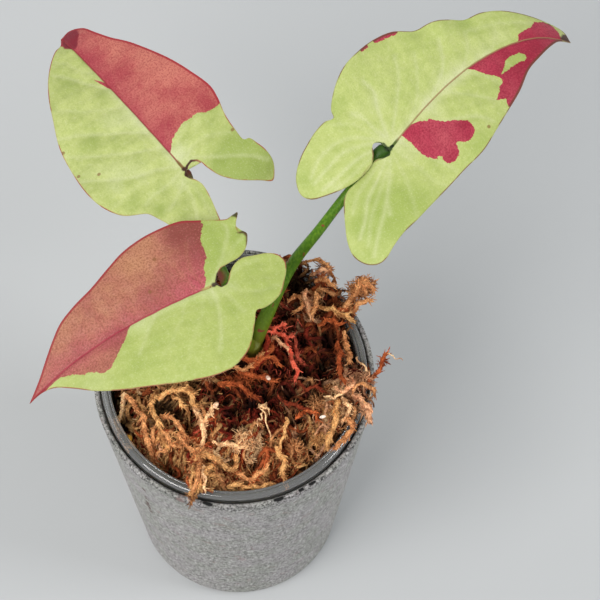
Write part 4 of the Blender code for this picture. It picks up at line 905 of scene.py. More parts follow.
def make_inner_pot():
    """The clear pot: a thin wall, and a lip with a fine inner bead, a shallow valley and a rolled
    outer edge that ends in an upright skirt over the stone rim."""
    lip_foot = LIP_TOP - LIP_HEIGHT
    corner = (cup_radius(CUP_FOOT + CUP_BEND), CUP_FOOT + CUP_BEND)
    profile = [(0, CUP_FOOT + CUP_WALL), (CUP_FOOT_RADIUS - CUP_FLOOR_EDGE, CUP_FOOT + CUP_WALL),
               (corner[0] - CUP_WALL, corner[1])]
    profile += line(profile[-1], (LIP_INNER_RADIUS, lip_foot), 16)
    profile += arc(LIP_INNER_RADIUS + LIP_BEAD, LIP_TOP - LIP_BEAD, LIP_BEAD, 180, 20, 6)
    profile += [(LIP_INNER_RADIUS + 2.5 * LIP_BEAD, LIP_TOP - 0.5)]
    profile += arc(LIP_RADIUS - LIP_ROLL, LIP_TOP - LIP_ROLL, LIP_ROLL, 105, 0, 14)
    profile += [(LIP_RADIUS, lip_foot), (CUP_TOP_RADIUS, lip_foot)]
    profile += line(profile[-1], corner, 16)
    profile += arc(CUP_FOOT_RADIUS - CUP_CORNER, CUP_FOOT + CUP_CORNER, CUP_CORNER, -6, -90, 4)
    profile += [(0, CUP_FOOT)]
    mesh = make_mesh("inner_pot_clear", *turned(profile))
    add_piece(mesh, clear_finish(), "clear_plastic", "inner_pot")


def waves(x, y, parts, swerve):
    """Ridges of folded waves that cross each other at different angles."""
    total = 0.0
    for turn, wavelength, phase in parts:
        along = x * math.cos(math.radians(turn)) + y * math.sin(math.radians(turn))
        bend = swerve * np.sin(0.31 * (x - y) + phase)
        total = total + 1 - 2 * np.abs(np.sin(math.pi * (along + bend) / wavelength + phase))
    return total / 2


def tuft_reach(angle):
    """How far the moss reaches past the lip's bore in each direction."""
    reach = np.zeros_like(angle)
    for direction, length, half_width in MOSS_TUFTS:
        turn = np.degrees(np.angle(np.exp(1j * (angle - math.radians(direction)))))
        reach = np.maximum(reach, length * np.exp(-(turn / half_width)**2))
    return reach


def moss_ground(x, y):
    """Height of the moss: mounded, higher behind and to the right, and raised over the lip where
    its tufts are."""
    radius = np.hypot(x, y)
    mound = MOSS_MOUND_HEIGHT * np.clip(1 - (radius / LIP_INNER_RADIUS)**2, 0, None)**0.7
    lean = 2.4 * (0.6 * x + 0.8 * y) / LIP_INNER_RADIUS
    lumps = 1.2 * np.sin(0.27 * x + 0.9) * np.sin(0.31 * y - 0.4)
    relief = waves(x, y, MOSS_WAVES, 1.6)
    level = MOSS_EDGE_LEVEL + mound + lean + lumps + 1.1 * relief
    share = np.clip(tuft_reach(np.arctan2(y, x)) / TUFT_CLIMB, 0, 1)
    lift = np.clip((radius - TUFT_START_RADIUS) / TUFT_RAMP, 0, 1) * share
    return level * (1 - lift) + np.maximum(level, MOSS_OVERHANG_LEVEL + 0.6 * relief) * lift


def gap_depth(x, y):
    """How far the moss sinks at its gaps and round the stem."""
    depth = CROWN_HOLLOW * hill(x, y, STEM_PLACE, CROWN_HOLLOW_RADIUS)
    for gap_x, gap_y, radius, deep in MOSS_GAPS:
        depth = np.maximum(depth, deep * hill(x, y, (gap_x, gap_y), radius))
    return depth


def shade_finish():
    """The fibre between the strands, in painted shade: brown at the front, darker and redder behind."""
    finish = Finish("moss_shade", Roughness=0.95, Specular_IOR_Level=0.1)
    here = finish.here()
    dark = finish.noise(here, 0.5, 4.0, 0.6).step(0.35, 0.7)
    front = (-finish.part(here, 1)).step(8, 18)
    light = finish.mix(dark, (0.05, 0.022, 0.01), (0.36, 0.15, 0.055))
    shaded = finish.mix(dark, (0.016, 0.006, 0.003), (0.15, 0.042, 0.016))
    finish.set("Base Color", finish.mix(front, shaded, light))
    finish.relief(finish.noise(here, 1.4, 4.0, 0.7), 0.6)
    return finish


def make_moss_bed():
    """The moss that fills the pot: rings of points from the middle of the mound outward, round the
    tufts' edge, and down inside the pot. It dips round the stem."""
    angle = np.linspace(0, 2 * math.pi, BED_DIRECTIONS, endpoint=False)
    reach = tuft_reach(angle)
    share = np.clip(reach / TUFT_CLIMB, 0, 1)
    edge = MOSS_RADIUS + np.maximum(reach - TUFT_CLIMB - 1, 0)
    radii = np.outer(np.linspace(0, 1, BED_RINGS)[1:], edge)
    x = radii * np.cos(angle)
    y = radii * np.sin(angle)
    z = moss_ground(x, y) - BED_SINK - gap_depth(x, y) + 0.7 * waves(x, y, MOSS_FINE_WAVES, 0.7)
    underside = (MOSS_EDGE_LEVEL - 4) * (1 - share) + (LIP_TOP + 0.5) * share
    inside = CUP_WALL + BED_GAP
    floor = CUP_FOOT + inside
    rings = [(edge - BED_GAP, underside), (MOSS_RADIUS, underside), (cup_radius(70) - inside, 70),
             (cup_radius(6) - inside, 6), (CUP_FOOT_RADIUS - 4, floor)]
    rows = [np.stack([x, y, z], axis=2)]
    for radius, height in rings:
        rows.append(np.column_stack([polar(radius, angle), height + 0 * angle])[None])
    grid = np.concatenate(rows)
    points = np.vstack([grid.reshape(-1, 3), [0, 0, z[0].mean()], [0, 0, floor]])
    mesh = make_mesh("moss_bed", points, *closed_rows(len(grid), BED_DIRECTIONS))
    add_piece(mesh, shade_finish(), "long_fibred_moss", "moss")


def moss_colour(draw, x, y):
    """A colour for each strand, drawn by how common each is at its place."""
    names = list(MOSS_COLOURS)
    weights = np.array([[PLAIN_WEIGHT[name]] * len(x) for name in names])
    for name, place_x, place_y, spread, weight in MOSS_REGIONS:
        weights[names.index(name)] += weight * hill(x, y, (place_x, place_y), spread)
    ladder = np.cumsum(weights, axis=0) / weights.sum(axis=0)
    chosen = (draw.uniform(0, 1, len(x)) > ladder).sum(axis=0)
    return np.array([MOSS_COLOURS[name] for name in names])[chosen]


def wander(draw, places, headings, lengths, swerve, steps):
    """Plan paths centred on their places, whose heading sways by two slow waves."""
    share = np.linspace(0, 1, steps)
    phase = draw.uniform(0, 2 * math.pi, (2, len(places), 1))
    turns = draw.uniform(0.5, 1.5, (2, len(places), 1))
    sway = np.sin(2 * math.pi * turns * share + phase)
    turn = headings[:, None] + swerve * (sway[0] + 0.6 * sway[1])
    pace = (lengths / (steps - 1))[:, None]
    x = np.cumsum(np.cos(turn) * pace, axis=1)
    y = np.cumsum(np.sin(turn) * pace, axis=1)
    x += places[:, :1] - x.mean(axis=1, keepdims=True)
    y += places[:, 1:] - y.mean(axis=1, keepdims=True)
    return x, y


def lay_strands(draw, places, headings, lengths, swerve, lift, steps):
    """Strands that weave up and down through the top of the moss and dip into it at both ends. They
    stay inside the lip, except where a tuft carries them over it, and bend down past the pot."""
    x, y = wander(draw, places, headings, lengths, swerve, steps)
    radius = np.hypot(x, y)
    reach = tuft_reach(np.arctan2(y, x))
    limit = MOSS_RADIUS - 0.6 + np.where(reach > TUFT_CLIMB, reach + 1.5, 0)
    held = np.where(radius > limit - 3, limit - 3 + 3 * np.tanh((radius - limit + 3) / 3), radius)
    x, y = x * held / radius, y * held / radius
    share = np.linspace(0, 1, steps)
    turns = draw.uniform(0.4, 1.3, (len(places), 1))
    weave = np.sin(2 * math.pi * turns * share + draw.uniform(0, 2 * math.pi, (len(places), 1)))
    dip = np.sin(math.pi * share)**0.5
    high = lift[:, None] * (0.55 + 0.45 * weave) * dip - 1.2 * (1 - dip)
    droop = 1.3 * np.clip(held - POT_TOP_RADIUS - 0.5, 0, None)
    return np.stack([x, y, moss_ground(x, y) + high - droop - 0.9 * gap_depth(x, y)], axis=2)


def scatter(draw, count, reach):
    """Places spread evenly over a round area."""
    radius = reach * np.sqrt(draw.uniform(0, 1, count))
    return polar(radius, draw.uniform(0, 2 * math.pi, count))


def random_ropes(draw):
    """The ropes that fill the bed: combed toward the front on the left, with more of them in the
    tufts, by their length in millimetres, and at the front."""
    places = scatter(draw, ROPES, ROPE_REACH)
    headings = draw.uniform(0, 2 * math.pi, len(places))
    combed = places[:, 0] < COMBED_BELOW
    headings[combed] = COMBED_HEADING + draw.normal(0, 0.5, combed.sum())
    for direction, length, half_width in MOSS_TUFTS:
        count = int(ROPES_A_TUFT * length)
        turn = np.radians(direction + half_width * draw.uniform(-0.9, 0.9, count))
        out = draw.uniform(24, 30.5 + 0.6 * length, count)
        places = np.vstack([places, polar(out, turn)])
        headings = np.concatenate([headings, turn + draw.normal(0, 0.9, count)])
    across = draw.uniform(-24, 24, FRONT_ROPES)
    front = np.stack([across, draw.uniform(-29, -13, FRONT_ROPES)], axis=1)
    places = np.vstack([places, front[np.hypot(*front.T) < ROPE_REACH]])
    headings = np.concatenate([headings, draw.uniform(-1.6, 1.0, len(places) - len(headings))])
    lengths = draw.uniform(7, 16, len(places))
    lift = draw.uniform(-0.8, 2.6, len(places))
    return lay_strands(draw, places, headings, lengths, 1.0, lift, MOSS_STEPS)


def hand_laid(draw):
    """The listed strands, slightly crooked, as paths with their radii and colours."""
    share = np.linspace(0, 1, MOSS_STEPS)
    paths = []
    for name, radius, *points in MOSS_STRANDS:
        path = smooth_path(points, MOSS_STEPS - 1)
        turns = draw.uniform(1.2, 3.2, 3)
        path += 0.28 * np.sin(2 * math.pi * share[:, None] * turns + draw.uniform(0, 6, 3))
        path[:, 2] += moss_ground(path[:, 0], path[:, 1])
        paths.append(path)
    colours = [MOSS_COLOURS[strand[0]] for strand in MOSS_STRANDS]
    return np.array(paths), np.array([strand[1] for strand in MOSS_STRANDS]), np.array(colours)


def rope_leaflets(draw, ropes, thick, favour, count):
    """Small leaves pressed thickly along the ropes, as paths, radii and the number of each one's
    rope. The favour makes a rope's leaves more common."""
    length = np.linalg.norm(np.diff(ropes, axis=1), axis=2).sum(axis=1)
    chance = length * favour * np.clip(thick - 0.22, 0, 1)
    strand = draw.choice(len(ropes), count, p=chance / chance.sum())
    where = draw.uniform(0, MOSS_STEPS - 1.01, count)
    low = where.astype(int)
    share = (where - low)[:, None]
    before, after = ropes[strand, low], ropes[strand, low + 1]
    centre = before * (1 - share) + after * share
    along = unit(after - before)
    aside = draw.normal(0, 1, (count, 3)) + [0, 0, 0.4]
    aside = unit(aside - along * (aside * along).sum(axis=1, keepdims=True))
    foot = centre + aside * (0.78 * thick[strand])[:, None]
    slant = draw.uniform(0.03, 0.52, (count, 1))
    astray = 0.22 * draw.normal(0, 1, (count, 3))
    reach = draw.uniform(0.45, 1.35, (count, 1)) * (slant * aside + 0.85 * along + astray)
    radii = draw.uniform(0.10, 0.21, (count, 1)) * np.array([1.0, 0.45])
    return np.stack([foot, foot + reach], axis=1), radii, strand


def curled_leaves(foot, aside, along, lengths, curl):
    """Short leaves of three points: each leaves its foot to one side, then bends back forward."""
    run = np.array([0.0, 0.5, 1.0])[None, :, None]
    curl = curl[:, None, None]
    outward = (lengths[:, None] * aside)[:, None] * (run - 0.5 * curl * run**2)
    forward = (lengths[:, None] * along)[:, None] * (0.4 * run + 0.6 * curl * run**2)
    return foot[:, None] + outward + forward


def head_leaflets(draw):
    """The fluffy heads' fine curled leaves, spread over low domes, with their radii and colours."""
    paths, colours = [], []
    for name, x, y, height, radius in MOSS_HEADS:
        count = int(HEAD_LEAVES * radius**2)
        outward = unit(draw.normal(0, 1, (count, 3)) + [0, 0, 0.6])
        centre = np.array([x, y, moss_ground(x, y) + height - 0.6 * radius])
        size = radius * draw.uniform(0.35, 0.95, (count, 1))
        foot = centre + outward * size * [1, 1, 0.7]
        along = unit(draw.normal(0, 1, (count, 3)))
        lengths = draw.uniform(0.6, 1.5, count)
        paths.append(curled_leaves(foot, 0.7 * outward, along, lengths, draw.uniform(0.4, 1.3, count)))
        colours.append(np.tile(MOSS_COLOURS[name], (count, 1)) * draw.uniform(0.65, 1.12, (count, 1)))
    paths = np.concatenate(paths)
    radii = draw.uniform(0.07, 0.14, (len(paths), 1)) * np.array([1.0, 1.0, 0.6])
    return paths, radii, np.concatenate(colours)


def pale_bits():
    """White grains, a pale bud and a yellow one that lie on the moss: short fat paths."""
    run = np.linspace(-0.5, 0.5, 6)
    paths, radii = [], []
    for x, y, height, radius, length, turn, _ in MOSS_BITS:
        level = moss_ground(x, y) + height + 0 * run
        paths.append(np.column_stack([[x, y] + polar(length * run, turn), level]))
        radii.append(radius * np.sqrt(1.02 - (2 * run)**2))
    return np.array(paths), np.array(radii), np.array([bit[-1] for bit in MOSS_BITS])


def moss_finish():
    """Dry moss fibre in its strands' own colours, with lighter and darker fibre along them."""
    finish = Finish("long_fibred_moss", Roughness=0.85, Specular_IOR_Level=0.2)
    here = finish.here()
    fibre = finish.noise(here, 2.2, 3.0, 0.65)
    clump = finish.noise(here, 0.42, 3.0, 0.6)
    colour = finish.mix(fibre.step(0.3, 0.72), (0.55, 0.43, 0.36), (1.25, 1.22, 1.15))
    colour = finish.mix(1.0, finish.attribute("colour", "Color"), colour, "MULTIPLY")
    darker = finish.mix(clump.step(0.34, 0.58), (0.62, 0.48, 0.43), (1.2, 1.2, 1.18))
    finish.set("Base Color", finish.mix(1.0, colour, darker, "MULTIPLY"))
    finish.relief(fibre, 0.3)
    return finish


def add_moss(name, finish, paths, radii, colours, sides=3):
    """Moss strands as one piece, each in its own colour, with painted shade where it lies deep and
    painted light at the front; darker toward the middle of the pot."""
    points, quads, triangles, owner = tubes(paths, radii, sides, (0.1, 0.2, 1.0))
    mesh = make_mesh(name, points, quads, triangles)
    x, y, z = points.T
    # Painted shade by depth and painted light at the front, and darker toward the middle
    depth = z - moss_ground(x, y)
    outer = np.clip((np.hypot(x - DARK_MIDDLE[0], y - DARK_MIDDLE[1]) - 8) / 12, 0, 1)
    front = np.clip((-y - 8) / 10, 0, 1)
    shade = np.clip(0.33 + 0.15 * outer + 0.26 * front + 0.2 * depth, 0.10 + 0.18 * front, 1.2)
    set_values(mesh, "colour", colours[owner] * shade[:, None])
    add_piece(mesh, finish, "long_fibred_moss", sharp=70)


def all_ropes(draw):
    """Paths, radii and colours of the ropes, the listed ones and then ones drawn at random, and how
    much more common the leaflets are on the first sort."""
    laid, laid_radii, laid_colours = hand_laid(draw)
    filling = random_ropes(draw)
    count = len(filling)
    thick = np.concatenate([laid_radii, draw.uniform(0.26, 0.56, count)])
    middle = filling[:, MOSS_STEPS // 2]
    drawn = moss_colour(draw, middle[:, 0], middle[:, 1]) * draw.uniform(0.6, 1.1, (count, 1))
    favour = np.repeat([1.8, 1.0], [len(laid), count])
    return np.concatenate([laid, filling]), thick, np.concatenate([laid_colours, drawn]), favour


def knotty_radii(draw, thick):
    """Radii along each rope: thinner toward both ends, with knots from two quick waves."""
    share = np.linspace(0, 1, MOSS_STEPS)
    taper = 0.5 + 0.5 * np.sin(math.pi * share)**0.4
    phase = draw.uniform(0, 6, (2, len(thick), 1))
    knots = 1 + 0.15 * np.sin(38 * share + phase[0]) + 0.18 * np.sin(17 * share + phase[1])
    return thick[:, None] * taper * knots


def loose_fibres(draw, ropes):
    """Fine loose fibres, most of them beside a rope, with their radii and colours."""
    places = scatter(draw, FIBRES, FIBRE_REACH)
    chosen = draw.integers(0, len(ropes), FIBRES_BY_ROPES)
    beside = draw.normal(0, 1.8, (FIBRES_BY_ROPES, 2))
    places[:FIBRES_BY_ROPES] = ropes[chosen, MOSS_STEPS // 2 - 1, :2] + beside
    headings = draw.uniform(0, 2 * math.pi, FIBRES)
    lengths = draw.uniform(1.5, 6, FIBRES)
    lift = draw.uniform(0.3, 3.4, FIBRES)
    paths = lay_strands(draw, places, headings, lengths, 1.5, lift, FIBRE_STEPS)
    radii = draw.uniform(0.06, 0.17, (FIBRES, 1)) * np.ones(FIBRE_STEPS)
    return paths, radii, moss_colour(draw, *places.T)


def make_moss():
    """The moss: knotty ropes set with leaflets, and over them fluffy heads, loose fibres and small
    pale bits."""
    draw = np.random.default_rng(SEED)
    finish = moss_finish()
    ropes, thick, colours, favour = all_ropes(draw)
    add_moss("moss_ropes", finish, ropes, knotty_radii(draw, thick), colours, 6)
    for name in ("moss_leaflets", "moss_more_leaflets"):
        paths, radii, strand = rope_leaflets(draw, ropes, thick, favour, LEAFLETS_A_PIECE)
        tint = colours[strand] * draw.uniform(0.6, 1.25, (len(strand), 1))
        add_moss(name, finish, paths, radii, tint)
    add_moss("moss_heads", finish, *head_leaflets(draw))
    add_moss("moss_fibres", finish, *loose_fibres(draw, ropes))
    add_moss("moss_pale_bits", finish, *pale_bits(), 8)


def leaf_frame(leaf):
    """The blade's root point and its unit directions: along the midrib, to its left, and upward."""
    heading, droop, bank = (math.radians(leaf[key]) for key in ("heading", "droop", "bank"))
    along = np.array([math.cos(heading) * math.cos(droop), math.sin(heading) * math.cos(droop),
                      -math.sin(droop)])
    level = np.array([-math.sin(heading), math.cos(heading), 0.0])
    across = level * math.cos(bank) + np.cross(along, level) * math.sin(bank)
    return np.array(leaf["root"]), along, across, np.cross(along, across)


def midrib_bow(leaf, s):
    """How far to the left the bowed midrib lies."""
    length = leaf["left"][-1][0]
    run = np.clip(s, 0, length)
    return leaf["midrib_slope"] * run * (1 - (run / length)**2)


def line_distance(line, points):
    """Distance from each point to an open line."""
    edge = np.diff(line, axis=0)
    offset = points[:, None] - line[:-1]
    squared = np.maximum((edge**2).sum(axis=1), 1e-9)
    share = np.clip((offset * edge).sum(axis=2) / squared, 0, 1)
    return np.linalg.norm(offset - share[..., None] * edge, axis=2).min(axis=1)


def signed_distance(loop, points):
    """Distance from each point to a closed outline, positive inside it."""
    closed = np.vstack([loop, loop[:1]]).astype(float)
    away = line_distance(closed, points)
    loop, following = closed[:-1], closed[1:]
    edge = following - loop
    x, y = points[:, :1], points[:, 1:]
    crosses = (loop[:, 1] > y) != (following[:, 1] > y)
    rise = np.where(edge[:, 1] == 0, 1.0, edge[:, 1])
    reached = loop[:, 0] + (y - loop[:, 1]) * edge[:, 0] / rise
    inside = (crosses & (x < reached)).sum(axis=1) % 2 == 1
    return np.where(inside, away, -away)


def outline_depth(outlines, relative):
    """How deep each point lies inside any of the outlines: negative outside."""
    return np.max([np.full(len(relative), -9.0)]
                  + [signed_distance(outline, relative) for outline in outlines], axis=0)


def vein_marks(leaf, relative, width):
    """How much each point belongs to a side vein of a given half width: 1 on a strong one."""
    marks = np.zeros(len(relative))
    for strength, *points in leaf["veins"]:
        away = line_distance(smooth_path(points, 20), relative)
        marks = np.maximum(marks, strength * np.exp(-(away / width)**2))
    return marks


def leaf_lift(leaf, s, t):
    """Height of the blade over its flat plane: folded at the bowed midrib, arched across, sagging
    toward the tip and the lobes, curled down at the tip, waved toward the edge, and rippled in a
    few places."""
    side = t - midrib_bow(leaf, s)
    fold = np.where(side > 0, leaf["fold_left"], leaf["fold_right"])
    lift = fold * (np.sqrt(side**2 + 4) - 2) - BLADE_ARCH * side**2
    lift -= leaf["sag"] * np.maximum(s, 0)**2 + leaf["lobe_sag"] * np.maximum(-s, 0)**2
    lift -= leaf["curl"] * np.maximum(s - leaf["curl_from"], 0)**2
    turn = 2 * math.pi * s / leaf["wave_length"] + leaf["wave_phase"] + np.where(side > 0, 0.0, 2.0)
    lift += leaf["wave_height"] * (side / 20)**2 * np.sin(turn)
    for place, spread, height in leaf["ripples"]:
        lift += height * hill(s, t, place, spread)
    return lift


def half_grid(leaf, side):
    """One half of the flat blade: rows from the lobe's end up its inner edge to the notch and along
    the midrib to the tip, each running straight from there to the outer margin."""
    curve = smooth_path(leaf[side], 900)
    back = int(np.argmin(curve[:, 0]))
    inner = even_path(curve[back::-1], LOBE_ROWS)
    margin = curve[back:]
    notch, tip = curve[0], curve[-1]
    run = np.linspace(0, 1, MIDRIB_ROWS + 1)[1:]
    s = notch[0] + (tip[0] - notch[0]) * run
    midrib = np.stack([s, midrib_bow(leaf, s) + notch[1] * (1 - run)], axis=1)
    inside = np.vstack([inner, midrib])
    length = path_length(margin)
    shoulder = length[np.argmax(margin[:, 0] > -5)]
    lobe_part = shoulder * np.linspace(0, 1, LOBE_ROWS + 1)
    lead = run + 0.22 * run * (1 - run)
    wanted = np.concatenate([lobe_part, shoulder + (length[-1] - shoulder) * lead])
    share = np.linspace(0, 1, BLADE_COLUMNS)[:, None]**1.25
    return inside[:, None] + (points_at(margin, wanted) - inside)[:, None] * share


def blade_faces(rows, columns):
    """The loop of point numbers round the margin, and the faces of both skins and of the band that
    joins them. The left half's points come first, then the right half's, then the lower skin's."""
    size = rows * columns
    left = np.arange(size).reshape(rows, columns)
    right = left + size
    loop = np.concatenate([left[LOBE_ROWS:0:-1, 0], left[:, -1], right[::-1, -1],
                           right[:LOBE_ROWS + 1, 0]])
    following = np.roll(loop, -1)
    left_faces = np.stack([left[:-1, :-1], left[1:, :-1], left[1:, 1:], left[:-1, 1:]], axis=2)
    left_faces = left_faces.reshape(-1, 4)
    top = np.concatenate([left_faces, left_faces[:, [0, 3, 2, 1]] + size])
    below = 2 * size
    band = np.stack([loop, loop + below, following + below, following], axis=1)
    return loop, np.concatenate([top, top[:, ::-1] + below, band])


def blade_skins(leaf, flat, relative, rim, marks):
    """Points of the upper and then of the lower skin. Side veins are grooves above and ribs below,
    with puckers between them, and the lower skin carries the midrib. Where the lobes overlap, the
    left one lies on the right."""
    s, t = flat.T
    side = relative[:, 1]
    inward = np.clip(rim / 3, 0, 1)
    panel = vein_marks(leaf, relative, PANEL_WIDTH)
    pucker = inward * (0.22 * panel + 0.09 * vein_marks(leaf, relative, PUCKER_WIDTH))
    pucker += 0.10 * inward * np.sin(1.1 * s + 0.7 * t) * np.sin(0.9 * t - 0.6 * s + leaf["heading"])
    place, spread, height = leaf["overlap"]
    over = height * hill(s, t, place, spread) * np.clip(-s / 2.5, 0, 1)
    lift = leaf_lift(leaf, s, t) - pucker + over * np.repeat([1.0, -1.0], len(s) // 2)
    root, along, across, normal = leaf_frame(leaf)
    middle = root + s[:, None] * along + t[:, None] * across + lift[:, None] * normal
    step = 0.05
    slope_s = (leaf_lift(leaf, s + step, t) - leaf_lift(leaf, s - step, t)) / (2 * step)
    slope_t = (leaf_lift(leaf, s, t + step) - leaf_lift(leaf, s, t - step)) / (2 * step)
    up = unit(normal - slope_s[:, None] * along - slope_t[:, None] * across)
    half = HALF_MARGIN + (HALF_BLADE - HALF_MARGIN) * np.clip(rim / 2, 0, 1)
    ahead = np.clip(s / leaf["left"][-1][0], 0, 1)
    rib = (0.75 - 0.6 * ahead) * np.exp(-(side / (0.9 - 0.5 * ahead))**2) * (s > -1.5)
    groove = 0.22 * np.exp(-(side / 0.5)**2) * (s > -1) * np.clip(rim, 0, 1)
    upper = middle + up * (half - groove)[:, None]
    lower = middle - up * (half + np.clip(rim, 0, 1) * rib + 0.22 * marks * inward)[:, None]
    return np.vstack([upper, lower])


def make_leaf(leaf):
    """A blade: both halves' flat grids lifted into shape, as an upper and a lower skin that are
    joined round the margin, with the values that its colours need."""
    halves = [half_grid(leaf, "left"), half_grid(leaf, "right")]
    flat = np.concatenate([half.reshape(-1, 2) for half in halves])
    loop, faces = blade_faces(*halves[0].shape[:2])
    s, t = flat.T
    side = t - midrib_bow(leaf, s)
    relative = np.stack([s, side], axis=1)
    rim = np.abs(signed_distance(flat[loop[::3]], flat))
    marks = vein_marks(leaf, relative, VEIN_WIDTH)
    skins = blade_skins(leaf, flat, relative, rim, marks)
    mesh = make_mesh(leaf["name"] + "_blade", skins, faces)
    patch = np.minimum(outline_depth(leaf["patches"], relative),
                       -outline_depth(leaf["islands"], relative))
    tone = sum(amount * hill(s, side, (spot_s, spot_side), spread)
               for spot_s, spot_side, spread, amount in leaf["tones"])
    set_values(mesh, "blade", np.tile(np.column_stack([s, side, 0 * s]), (2, 1)))
    set_values(mesh, "under", np.repeat([0.0, 1.0], len(flat)))
    for name, values in (("patch", patch), ("dark", outline_depth(leaf["dark"], relative)),
                         ("rim", rim), ("vein", marks), ("tone", tone)):
        set_values(mesh, name, np.tile(values, 2))
    merge_points(mesh)
    add_piece(mesh, leaf_finish(leaf), "leaf_lime", leaf["name"], sharp=60)


def leaf_finish(leaf):
    """Satin leaf skin: lime with paler veins and mottling, red patches with crisp ragged edges that
    are rosier by the midrib and the notch, a thin coloured midrib with a collar at its root, painted
    shade round the notch and a coloured line along the margin. The underside is paler."""
    tones = {name: row[LEAVES.index(leaf)] for name, row in LEAF_TONES.items()}
    finish = Finish(leaf["name"] + "_skin", Specular_IOR_Level=0.32)
    place = finish.attribute("blade", "Vector")
    s = finish.part(place, 0)
    off_rib = abs(finish.part(place, 1))
    rim, vein, tone = (finish.attribute(name) for name in ("rim", "vein", "tone"))
    lighter = tone.clamp()
    deeper = (-tone).clamp()
    cloud = finish.noise(place, 0.22, 3.0, 0.55)
    mottle = finish.noise(place, 0.8, 4.0, 0.62)
    grain = finish.noise(place, 2.1, 3.0, 0.7)
    from_root = finish.vector("LENGTH", [place], "Value")
    near_rib = (off_rib / 1.7).bell() * s.step(-1, 3) * (1 - s.step(28, 46))
    lime = finish.cover(
        tones["lime"],
        (cloud.step(0.35, 0.75) * 0.35, tones["green"]),
        (mottle.step(0.48, 0.72) * 0.32, tones["green"]),
        ((1 - mottle.step(0.30, 0.48)) * 0.25, tones["pale"]),
        (deeper * 0.75, tones["green"]),
        ((lighter * 0.7 + near_rib * 0.45).clamp(), tones["pale"]),
        (vein * tones["vein"], (0.70, 0.71, 0.44)),
        (grain.step(0.50, 0.68) * 0.32, (0.34, 0.43, 0.09)),
        ((1 - grain.step(0.32, 0.48)) * 0.22, (0.74, 0.76, 0.44)),
    )
    rosy = ((1 - from_root.step(3, 15)) * 0.45 + (off_rib / 4.2).bell() * 0.45).clamp()
    red = finish.cover(
        tones["red"],
        (cloud.step(0.35, 0.65) * 0.5, tones["light"]),
        (mottle.step(0.45, 0.68) * 0.4, tones["deep"]),
        (lighter, tones["light"]),
        ((deeper + (off_rib / 1.3).bell() * 0.6).clamp(), tones["deep"]),
        (rosy, tones["rose"]),
        (vein * 0.3, tones["light"]),
        (grain.step(0.47, 0.64) * 0.62, tones["speck"]),
        ((1 - grain.step(0.30, 0.46)) * 0.38, tones["glow"]),
    )
    ragged = (finish.noise(place, 1.0, 3.0, 0.65) - 0.5) * off_rib.step(0.3, 2.5)
    inside = (finish.attribute("patch") + ragged * 1.3).step(-0.05, 0.05)
    rib_line = (1 - off_rib.step(0.12, 0.26)) * s.step(-1, 0.5)
    collar = (1 - off_rib.step(0.25, 0.5)) * s.step(-1, 0) * (1 - s.step(2.0, 4.0))
    uneven = finish.noise(place, 0.13, 2.0).step(0.44, 0.56)
    margin = (1 - (rim - inside * 0.34).step(0.08, 0.34)) * (inside + uneven * 0.85 + 0.2).clamp()
    # Painted shade round the notch, where its edge turns down, and at the root
    notch_shade = (1 - rim.step(0.18, 0.45)) * (1 - from_root.step(2.5, 4.5)) + 1 - from_root.step(0.3, 0.9)
    colour = finish.cover(
        finish.mix(inside, lime, red),
        (finish.attribute("dark").step(-0.3, 0.3), tones["dark"]),
        (rib_line * 0.85, tones["rib"]),
        (collar * 0.9, tones["collar"]),
        (margin * 0.88, tones["edge"]),
        (notch_shade.clamp(), tones["notch_shadow"]),
    )
    for fleck in leaf["flecks"]:
        colour = finish.mix(finish.spot(place, (*fleck, 0.0), 0.6) * 0.7, colour, (0.22, 0.09, 0.03))
    dull = finish.mix(0.5, colour, (0.42, 0.47, 0.24))
    finish.set("Base Color", finish.mix(finish.attribute("under"), colour, dull))
    finish.set("Roughness", 0.40 + 0.18 * grain)
    finish.relief(grain * 0.4 + mottle * 0.4 - rib_line * 0.3, 0.22)
    return finish


def petiole_finish():
    """Smooth deep green stalk skin with lighter streaks, olive toward the sheath, maroon where the
    left leaves join it, and with a few red flecks and painted shade at the right leaf's joint."""
    finish = Finish("petiole_green", Roughness=0.42, Specular_IOR_Level=0.28)
    here = finish.here()
    streaks = finish.noise(finish.vector("MULTIPLY", [here, (1.0, 1.0, 0.12)]), 1.6, 3.0, 0.6)
    height = finish.part(here, 2)
    speck = finish.noise(here, 0.55, 1.0).step(0.70, 0.74)
    # Red spots, and painted shade at the right leaf's joint
    spots = [(finish.spot(here, place, radius), tone) for place, radius, tone in PETIOLE_SPOTS_AND_SHADE]
    colour = finish.cover(
        (0.060, 0.165, 0.003),
        (streaks.step(0.35, 0.7), (0.13, 0.27, 0.012)),
        ((1 - height.step(96, 110)) * 0.8, (0.20, 0.235, 0.02)),
        ((1 - height.step(93, 102)) * 0.85, (0.13, 0.075, 0.015)),
        (finish.attribute("maroon"), (0.11, 0.03, 0.015)),
        (speck * 0.8, (0.30, 0.02, 0.03)),
        *spots,
    )
    finish.set("Base Color", colour)
    finish.relief(streaks, 0.15)
    return finish


